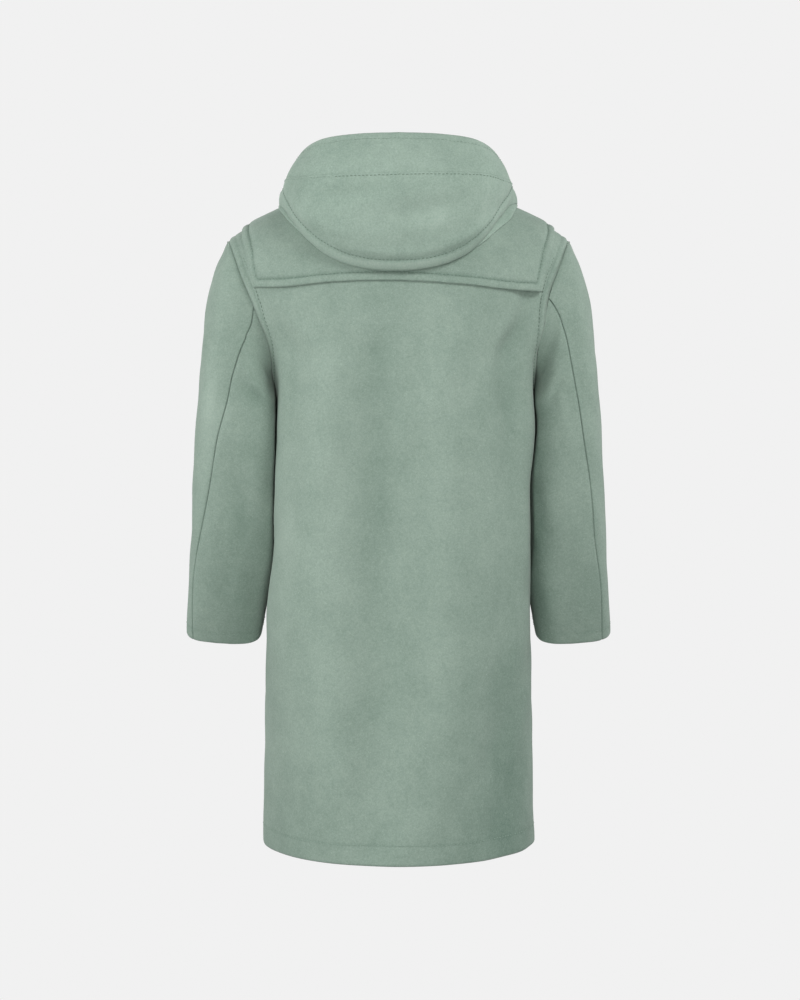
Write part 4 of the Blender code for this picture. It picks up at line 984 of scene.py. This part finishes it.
def bodyHalfWidth(y, z):
    # x of the torso's side at a depth and height: half width * (1 - |y / depth|^p)^(1/p)
    run = np.interp(-z, -torsoLevels[:, 5], torsoLevels[:, 0])
    _, halfWidth, back, front, _, _, _, behind, before = readTable(torsoLevels, run)
    square = np.where(y > 0, behind, before)
    share = np.clip(np.abs(y) / np.where(y > 0, back, front), 0.0, 1.0)
    return halfWidth * (1.0 - share**square) ** (1.0 / square)


def sleeve(turn, way):
    # a rounded oval between an inner and an outer point, pushed out where it would meet the body
    turn, way = np.broadcast_arrays(np.asarray(turn, float), np.asarray(way, float))
    lower = softStep((way - sleeveLook["lowFrom"]) / sleeveLook["lowOver"])
    square = sleeveLook["square"] + (sleeveLook["lowSquare"] - sleeveLook["square"]) * lower
    _, innerX, innerZ, outerX, outerZ, halfDepth, middleY, slope, _, _ = readTable(sleeveRings, way)
    sine, cosine = np.sin(np.radians(turn)), np.cos(np.radians(turn))
    corner = (np.abs(sine)**square + np.abs(cosine)**square) ** (1.0 / square)
    across = cosine / corner / 2
    depth = halfDepth * sine / corner
    x = (innerX + outerX) / 2 + (outerX - innerX) * across
    z = (innerZ + outerZ) / 2 + (outerZ - innerZ) * across - slope * depth
    y = middleY + depth
    limit = body["armholeBottom"]
    beside = bodyHalfWidth(y, np.minimum(z, limit)) + sleeveLook["bodyGap"]
    x = np.where(z < limit + sleeveLook["underarmMargin"], np.maximum(x, beside), x)
    share = np.clip(1.0 - way / sleeveLook["blend"], 0.0, 1.0)[..., None] ** 2  # eases out of the armhole
    rim = placesOn(armRim, armTurns, (turn + 180.0) % 360.0 - 180.0)
    return np.stack((x, y, z), axis=-1) * (1 - share) + rim * share


def buildSleeve(sideName, side):
    length, cuff = sleeveLook["length"], sleeveLook["cuffStitch"]
    marks = [(0.0, 0.006, 0.0018), (length, 0.004, 0.0018), (length - cuff, 0.004, 0.0014)]
    way = graded(length, sleeveLook["step"], marks) / length
    backSeam = readTable(sleeveRings, way)[8 if side > 0 else 9]
    frontSeam = np.full_like(way, sleeveLook["frontSeam"])
    mirror = np.array([side, 1.0, 1.0])
    cuffLine = denseLine(sleeve(np.linspace(-180.0, 180.0, 200), 1.0))
    for name, start, end, count, flat, area in (
            ("sleeve_top_", frontSeam, backSeam, 76, (0.3, 0.66), 0.128),
            ("sleeve_under_", backSeam, frontSeam + 360.0, 56, (0.22, 0.6), 0.088)):
        share = graded(1.0, 1.35 / count, [(0.0, 0.018, 0.24 / count), (1.0, 0.018, 0.24 / count)])
        turn = start[:, None] + (end - start)[:, None] * share
        ways = np.broadcast_to(way[:, None], turn.shape)
        points = sleeve(turn, ways)
        out = -normalsOf(sleeve, turn, ways)  # turn runs against the torso's angle
        toCuff = distanceTo(points, cuffLine)
        toHole = distanceTo(points, armRim)
        toSeam = distanceToEdges(points, "firstColumn", "lastColumn")
        wrapped = (turn + 180.0) % 360.0 - 180.0
        bent = dentsAt(wrapped, ways, sleeveLook[sideName + "Dents"])
        bent = (bent + sleeveLook["lumps"] * lumps(turn, ways * 0.6, 11 + side)) * softStep(toHole / 0.05)
        # nothing swells towards the body
        bent = np.where(bent > 0, bent * softStep((points[..., 0] - sleeveLook["nearBody"]) / 0.02), bent)
        bent = bent * softStep((toCuff + 0.02) / 0.04)
        height = bent + stitchedEdge(toCuff, cuff, *sleeveLook["cuffSwell"])
        height = height + seamValley(toSeam, *sleeveLook["seamSwell"])
        height = height + sleeveLook["headSwell"] * bell(toHole, 0.006, 0.008)
        turnUp = softStep((sleeveLook["cuffTurn"] - toCuff) / 0.003)
        thick = cloth["thickness"] + sleeveLook["cuffThick"] * turnUp
        pressedAndPaintedShade = sleeveLook["cuffPressed"] * bell(toCuff, cuff) + bell(toSeam, 0.0, 0.0014)
        # painted shade where the body shadows the sleeve and in its creases, painted light on its outer side
        pressedAndPaintedShade = pressedAndPaintedShade + dentsAt(wrapped, ways, sleeveLook[sideName + "Nap"])
        edges = ("firstColumn", "lastColumn", "firstRow")
        # the outer edges of its seams stand a little apart; the inner ones nearly touch, to let no light through
        _, laid = layCloth(name + sideName, points * mirror, out * mirror, height, bent - thick, wool, pressedAndPaintedShade,
                           edges, edges, "sleeveTuck")
        sewAlong(laid, out * mirror, toCuff, cuff, faintStore)


buildSleeve("left", 1)
buildSleeve("right", -1)
sewAll("stitchesCuffs", faintThread, faintStore)
print("sleeves ready")

# columns: angle, rim x, rim y, rim z, swell
hoodSections = np.array([
    (0.0, 0.0, 0.131, 0.055, 0.047),
    (18.0, 0.058, 0.128, 0.0535, 0.046),
    (36.0, 0.108, 0.113, 0.049, 0.039),
    (50.0, 0.133, 0.084, 0.041, 0.028),
    (66.0, 0.146, 0.046, 0.0255, 0.016),
    (80.0, 0.148, 0.016, 0.0125, 0.01),
    (98.0, 0.143, -0.016, -0.002, 0.01),
    (118.0, 0.125, -0.054, -0.027, 0.01),
    (140.0, 0.092, -0.088, -0.0575, 0.009),
    (160.0, 0.052, -0.105, -0.08, 0.008),
    (172.0, 0.02, -0.109, -0.088, 0.007)])

hoodLook = {
    "endAngle": 172.0, "rightEnd": -158.0, "columns": 236, "seamFall": 0.25, "endMargin": 0.006,
    # where the cross seam dips: angle, spread in degrees, fall
    "seamDips": ((-56.0, 22.0, 0.13), (50.0, 26.0, 0.08)),
    "edgeGap": 0.0012, "highSwell": 1.18, "highDrop": 0.45, "lowSwell": 0.5, "lowRise": 0.19,
    "edgeStitch": 0.0155, "rimStitch": 0.012, "seamStitch": 0.0035, "seamSinks": (-0.152, 0.094),
    "underLength": 0.13, "underStep": 0.0045, "step": 0.0042, "lumps": 0.0005, "edgeThick": 0.0008,
    # dents fade within these distances of the edge, the rim and both ends
    "quiet": (0.03, 0.02, 0.02),
    # how much wider and flatter the strip along the edge is at the sides: angle, spread, wider, flatter
    "flank": (60.0, 24.0, 0.6, 0.3), "rimPressed": 0.3, "edgePressed": 0.5, "paintedEdgeHighlight": -0.75,
    # puff and dip of its stitched edges and its seam
    "underSwell": (0.0006, 0.0003), "rimSwell": (0.0007, 0.0003), "edgeSwell": (0.0014, 0.0008),
    "seamSwell": (0.0001, 0.00015),
    # dents on the upper layer: angle, fall, spread in degrees, spread in fall, depth, slant
    "dents": ((-8.0, 0.5, 14.0, 0.09, -0.006, 40.0), (24.0, 0.68, 14.0, 0.12, 0.0052, -40.0),
              (-36.0, 0.62, 12.0, 0.15, -0.0024, -30.0), (48.0, 0.42, 11.0, 0.14, -0.003, 25.0),
              (16.0, 0.4, 8.0, 0.07, -0.0036, 70.0), (-24.0, 0.78, 12.0, 0.08, 0.004, 30.0),
              (34.0, 0.13, 12.0, 0.06, -0.0022, 30.0), (-18.0, 0.12, 13.0, 0.05, -0.002, 20.0),
              (4.0, 0.84, 20.0, 0.06, 0.0024, 0.0)),
    # painted shade and painted light in soft patches on the hood, darker or paler
    "paintedShadeAndLight": ((-16.0, 0.56, 22.0, 0.16, -0.42, 0.0), (30.0, 0.1, 16.0, 0.1, 0.4, 0.0),
            (34.0, 0.42, 9.0, 0.16, 0.35, 20.0), (2.0, 0.36, 12.0, 0.06, 0.3, 60.0))}
hoodLook["edgeHeight"] = 2 * cloth["thickness"] + cloth["yokeGap"] + cloth["layerGap"] + hoodLook["edgeGap"]
# where the two layers end, round the coat: angle, run of the upper layer's edge, run of the under layer's
hoodEdges = np.array([
    (-172.0, 0.065, 0.067), (-160.0, 0.08, 0.082), (-140.0, 0.09, 0.092), (-118.0, 0.093, 0.095),
    (-98.0, 0.088, 0.0895), (-86.0, 0.0866, 0.09), (-76.0, 0.085, 0.0925), (-66.0, 0.0845, 0.0975),
    (-57.0, 0.0895, 0.1045), (-47.0, 0.0985, 0.1105), (-42.0, 0.106, 0.1145), (-37.0, 0.113, 0.1195),
    (-32.0, 0.1205, 0.124), (-27.0, 0.129, 0.13), (-20.0, 0.1365, 0.137), (-8.0, 0.141, 0.142),
    (0.0, 0.1415, 0.143), (13.0, 0.142, 0.1435), (20.0, 0.139, 0.1405), (27.0, 0.133, 0.135),
    (38.0, 0.1195, 0.1215), (47.0, 0.107, 0.111), (57.0, 0.0975, 0.1045), (68.0, 0.0915, 0.0985),
    (80.0, 0.088, 0.0925), (98.0, 0.088, 0.09), (118.0, 0.093, 0.095), (140.0, 0.09, 0.092),
    (160.0, 0.08, 0.082), (172.0, 0.065, 0.067)])


def hood(angle, fall):
    # a cubic Bezier curve at each angle, from the rim of the face opening to the edge on the back
    angle, fall = np.broadcast_arrays(np.asarray(angle, float), np.asarray(fall, float))
    side = np.where(angle < 0, -1.0, 1.0)
    _, rimX, rimY, rimZ, swell = readTable(hoodSections, np.abs(angle))
    edgeRun = readTable(hoodEdges, angle)[1]
    rim = np.stack((side * rimX, rimY, rimZ), axis=-1)
    edge = torso(angle, edgeRun) + normalsOf(torso, angle, edgeRun) * hoodLook["edgeHeight"]
    away = unit((rim + edge)[..., :2])
    chord = rim - edge
    inward = (chord[..., :2] * away).sum(axis=-1)
    out = unit(np.concatenate((away * chord[..., 2:], -inward[..., None]), axis=-1))
    high = rim + out * swell[..., None] * hoodLook["highSwell"] - chord * hoodLook["highDrop"]
    low = edge + out * swell[..., None] * hoodLook["lowSwell"] + chord * hoodLook["lowRise"]
    fall = fall[..., None]
    keep = 1.0 - fall
    return rim * keep**3 + 3 * high * keep**2 * fall + 3 * low * keep * fall**2 + edge * fall**3


def seamFallAt(angle):
    # the cross seam's share of the way down: level behind, with a bell-shaped dip on each side
    return hoodLook["seamFall"] + sum(deep * bell(angle, at, wide) for at, wide, deep in hoodLook["seamDips"])


def buildUnderHood(around, underRun):
    # the layer that lies on the yoke
    length = hoodLook["underLength"]
    down = graded(length, hoodLook["underStep"], [(length, 0.004, 0.0018)]) / length
    run = down[:, None] * underRun
    angle = np.broadcast_to(around, run.shape).copy()
    clear = frontReach(run[:, 0], body["overlap"] + hoodLook["endMargin"]) - 180.0
    angle[:, 0] = np.maximum(angle[:, 0], clear)
    angle[:, 1] = np.maximum(angle[:, 1], (angle[:, 0] + angle[:, 2]) / 2)
    points, out, lift = onTorso(angle, run)
    bottom = lift + cloth["thickness"] + cloth["yokeGap"] + cloth["layerGap"]
    toEdge = distanceToEdges(points, "lastRow")
    height = stitchedEdge(toEdge, hoodLook["edgeStitch"], *hoodLook["underSwell"]) * (toEdge < 0.012)
    layCloth("hood_under", points, out, bottom + cloth["thickness"] + height, bottom, hoodWoolPaintedLight, 0.0 * run,
             ("lastRow", "firstColumn", "lastColumn"), ())


def buildHood():
    around = np.linspace(hoodLook["rightEnd"], hoodLook["endAngle"], hoodLook["columns"])
    _, edgeRun, underRun = readTable(hoodEdges, around)
    buildUnderHood(around, underRun)
    seamFall = seamFallAt(around)
    rim, edge, seam = (denseLine(hood(around, fall)) for fall in (0.0, 1.0, seamFall))
    rimStitch, edgeStitch = hoodLook["rimStitch"], hoodLook["edgeStitch"]
    # above and below the cross seam: name, from, to, length, places of close rows, sewn edge, flat size, area
    for name, top, low, length, marks, sewn, flat, area in (
            ("hood_crown", 0.0, seamFall, 0.03, [(0.0, 0.004, 0.0016), (0.012, 0.004, 0.0014), (0.03, 0.004, 0.0018)],
             "lastRow", (0.72, 0.1), 0.035),
            ("hood_upper", seamFall, 1.0, 0.12, [(0.0, 0.006, 0.0016), (0.105, 0.005, 0.0016), (0.12, 0.004, 0.0018)],
             "firstRow", (0.74, 0.19), 0.067)):
        falls = top + (low - top) * graded(length, hoodLook["step"], marks)[:, None] / length
        angle = np.broadcast_to(around, falls.shape)
        points = hood(angle, falls)
        out = normalsOf(hood, angle, falls)
        toRim, toEdge, toSeam = (distanceTo(points, line) for line in (rim, edge, seam))
        ends = distanceToEdges(points, "firstColumn", "lastColumn")
        bent = dentsAt(angle, falls, hoodLook["dents"]) + hoodLook["lumps"] * lumps(angle, falls * 0.14, 23)
        for distance, room in zip((toEdge, toRim, ends), hoodLook["quiet"]):
            bent = bent * softStep(distance / room)
        flankAngle, flankSpread, wider, flatter = hoodLook["flank"]
        flank = bell(np.abs(angle), flankAngle, flankSpread)
        toStitch = toEdge / (1.0 + wider * flank)
        puff, dip = hoodLook["edgeSwell"]
        height = bent + stitchedEdge(toRim, rimStitch, *hoodLook["rimSwell"])
        height = height + stitchedEdge(toStitch, edgeStitch, puff * (1.0 - flatter * flank), dip)
        height = height + seamValley(toSeam, *hoodLook["seamSwell"])
        bottom = leftLift(angle, edgeRun) - cloth["layerGap"] * (1.0 - softStep(toEdge / 0.02))
        thick = cloth["thickness"] + hoodLook["edgeThick"] * (1.0 - softStep((toEdge - edgeStitch) / 0.004))
        # painted highlight on the strip along the hood's edge near the middle, which faces down and would show darker
        pale = hoodLook["paintedEdgeHighlight"] * (1.0 - softStep((toEdge - 0.01) / 0.003)) * bell(angle, 0.0, 24.0)
        pressedAndPaintedShade = hoodLook["rimPressed"] * bell(toRim, rimStitch) + hoodLook["edgePressed"] * bell(toStitch, edgeStitch)
        # painted shade and painted light in soft patches over the hood
        pressedAndPaintedShade = pressedAndPaintedShade + pale + dentsAt(angle, falls, hoodLook["paintedShadeAndLight"])
        outside, _ = layCloth(name, points, out, bottom + thick + height, bottom + bent, hoodWoolPaintedLight, pressedAndPaintedShade,
                              ("firstRow", "firstColumn", "lastColumn", "lastRow"), (sewn,))
        if name == "hood_crown":
            sewAlong(outside, out, toRim, rimStitch, faintStore, -1)
        else:
            sewAlong(outside, out, toStitch, edgeStitch)
            line, lineOut = crossing(outside[::-1], out[::-1], toSeam[::-1], hoodLook["seamStitch"])
            right, left = hoodLook["seamSinks"]
            sunk = (line[:, 0] < right) | (line[:, 0] > left)  # the stitches sink into the nap at both ends
            sewLine(line[~sunk], lineOut[~sunk])
            sewLine(line[sunk], lineOut[sunk], faintStore)


buildHood()
sewAll("stitchesHood", thread)
sewAll("stitchesRim", faintThread, faintStore)
print("hood ready")

pocket = {"fromAngle": 116.0, "toAngle": 166.0, "topRun": 0.64, "width": 0.15, "height": 0.19, "corner": 0.1,
          "stitch": 0.008, "mouthStitch": 0.026, "stitchSwell": (0.0006, 0.0007), "mouthDip": 0.0006,
          "gape": 0.0016, "gapeDepth": 0.045, "pressedAndPaintedShade": 0.9}


def pocketSteps(length, firstStitch):
    # from -1 to 1, closer together at both edges and their stitching
    marks = ((0.0, 0.0016), (firstStitch, 0.0014), (length - pocket["stitch"], 0.0014), (length, 0.0016))
    return graded(length, 0.0036, [(at, 0.004, finest) for at, finest in marks]) / (length / 2) - 1.0


def buildPocket(name, side):
    # a patch with rounded lower corners, standing a little open at its mouth
    across, down = np.meshgrid(pocketSteps(pocket["width"], pocket["stitch"]),
                               pocketSteps(pocket["height"], pocket["mouthStitch"]))
    corner = np.where(down > 0, pocket["corner"], 0.0)
    wide = across * np.sqrt(1.0 - corner * down**2)
    deep = down * np.sqrt(1.0 - corner * across**2)
    middle = (pocket["fromAngle"] + pocket["toAngle"]) / 2
    angle = side * (middle + (pocket["toAngle"] - middle) * wide)
    run = pocket["topRun"] + pocket["height"] * (deep + 1.0) / 2
    points, out, lift = onTorso(angle, run)
    sewn = distanceToEdges(points, "lastRow", "firstColumn", "lastColumn")
    mouth = distanceToEdges(points, "firstRow")
    height = stitchedEdge(sewn, pocket["stitch"], *pocket["stitchSwell"])
    height = height - pocket["mouthDip"] * bell(mouth, pocket["mouthStitch"])
    height = height + pocket["gape"] * bell(mouth, 0.0, pocket["gapeDepth"]) * softStep(sewn / 0.03)
    bottom = lift + cloth["layerGap"]
    pressedAndPaintedShade = pocket["pressedAndPaintedShade"] * (bell(sewn, pocket["stitch"]) + bell(mouth, pocket["mouthStitch"]))
    outside, _ = layCloth(name, points, out, bottom + cloth["thickness"] + height, bottom, wool, pressedAndPaintedShade,
                          tuple(edgePlaces), ())
    sewAlong(outside, out, sewn, pocket["stitch"])
    sewAlong(outside, out, mouth, pocket["mouthStitch"], way=-1)


buildPocket("pocket_left", 1)
buildPocket("pocket_right", -1)
sewAll("stitchesPockets", thread)
print("pockets ready")

for node, finish in (("toggle", wood), ("toggle_strap", leather), ("toggle_loop", cord),
                     ("strap_patch", leather), ("loop_patch", leather)):
    for number in range(1, 5):
        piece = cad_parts[f"{node}_{number}"]
        piece.data.materials.clear()
        piece.data.materials.append(finish)
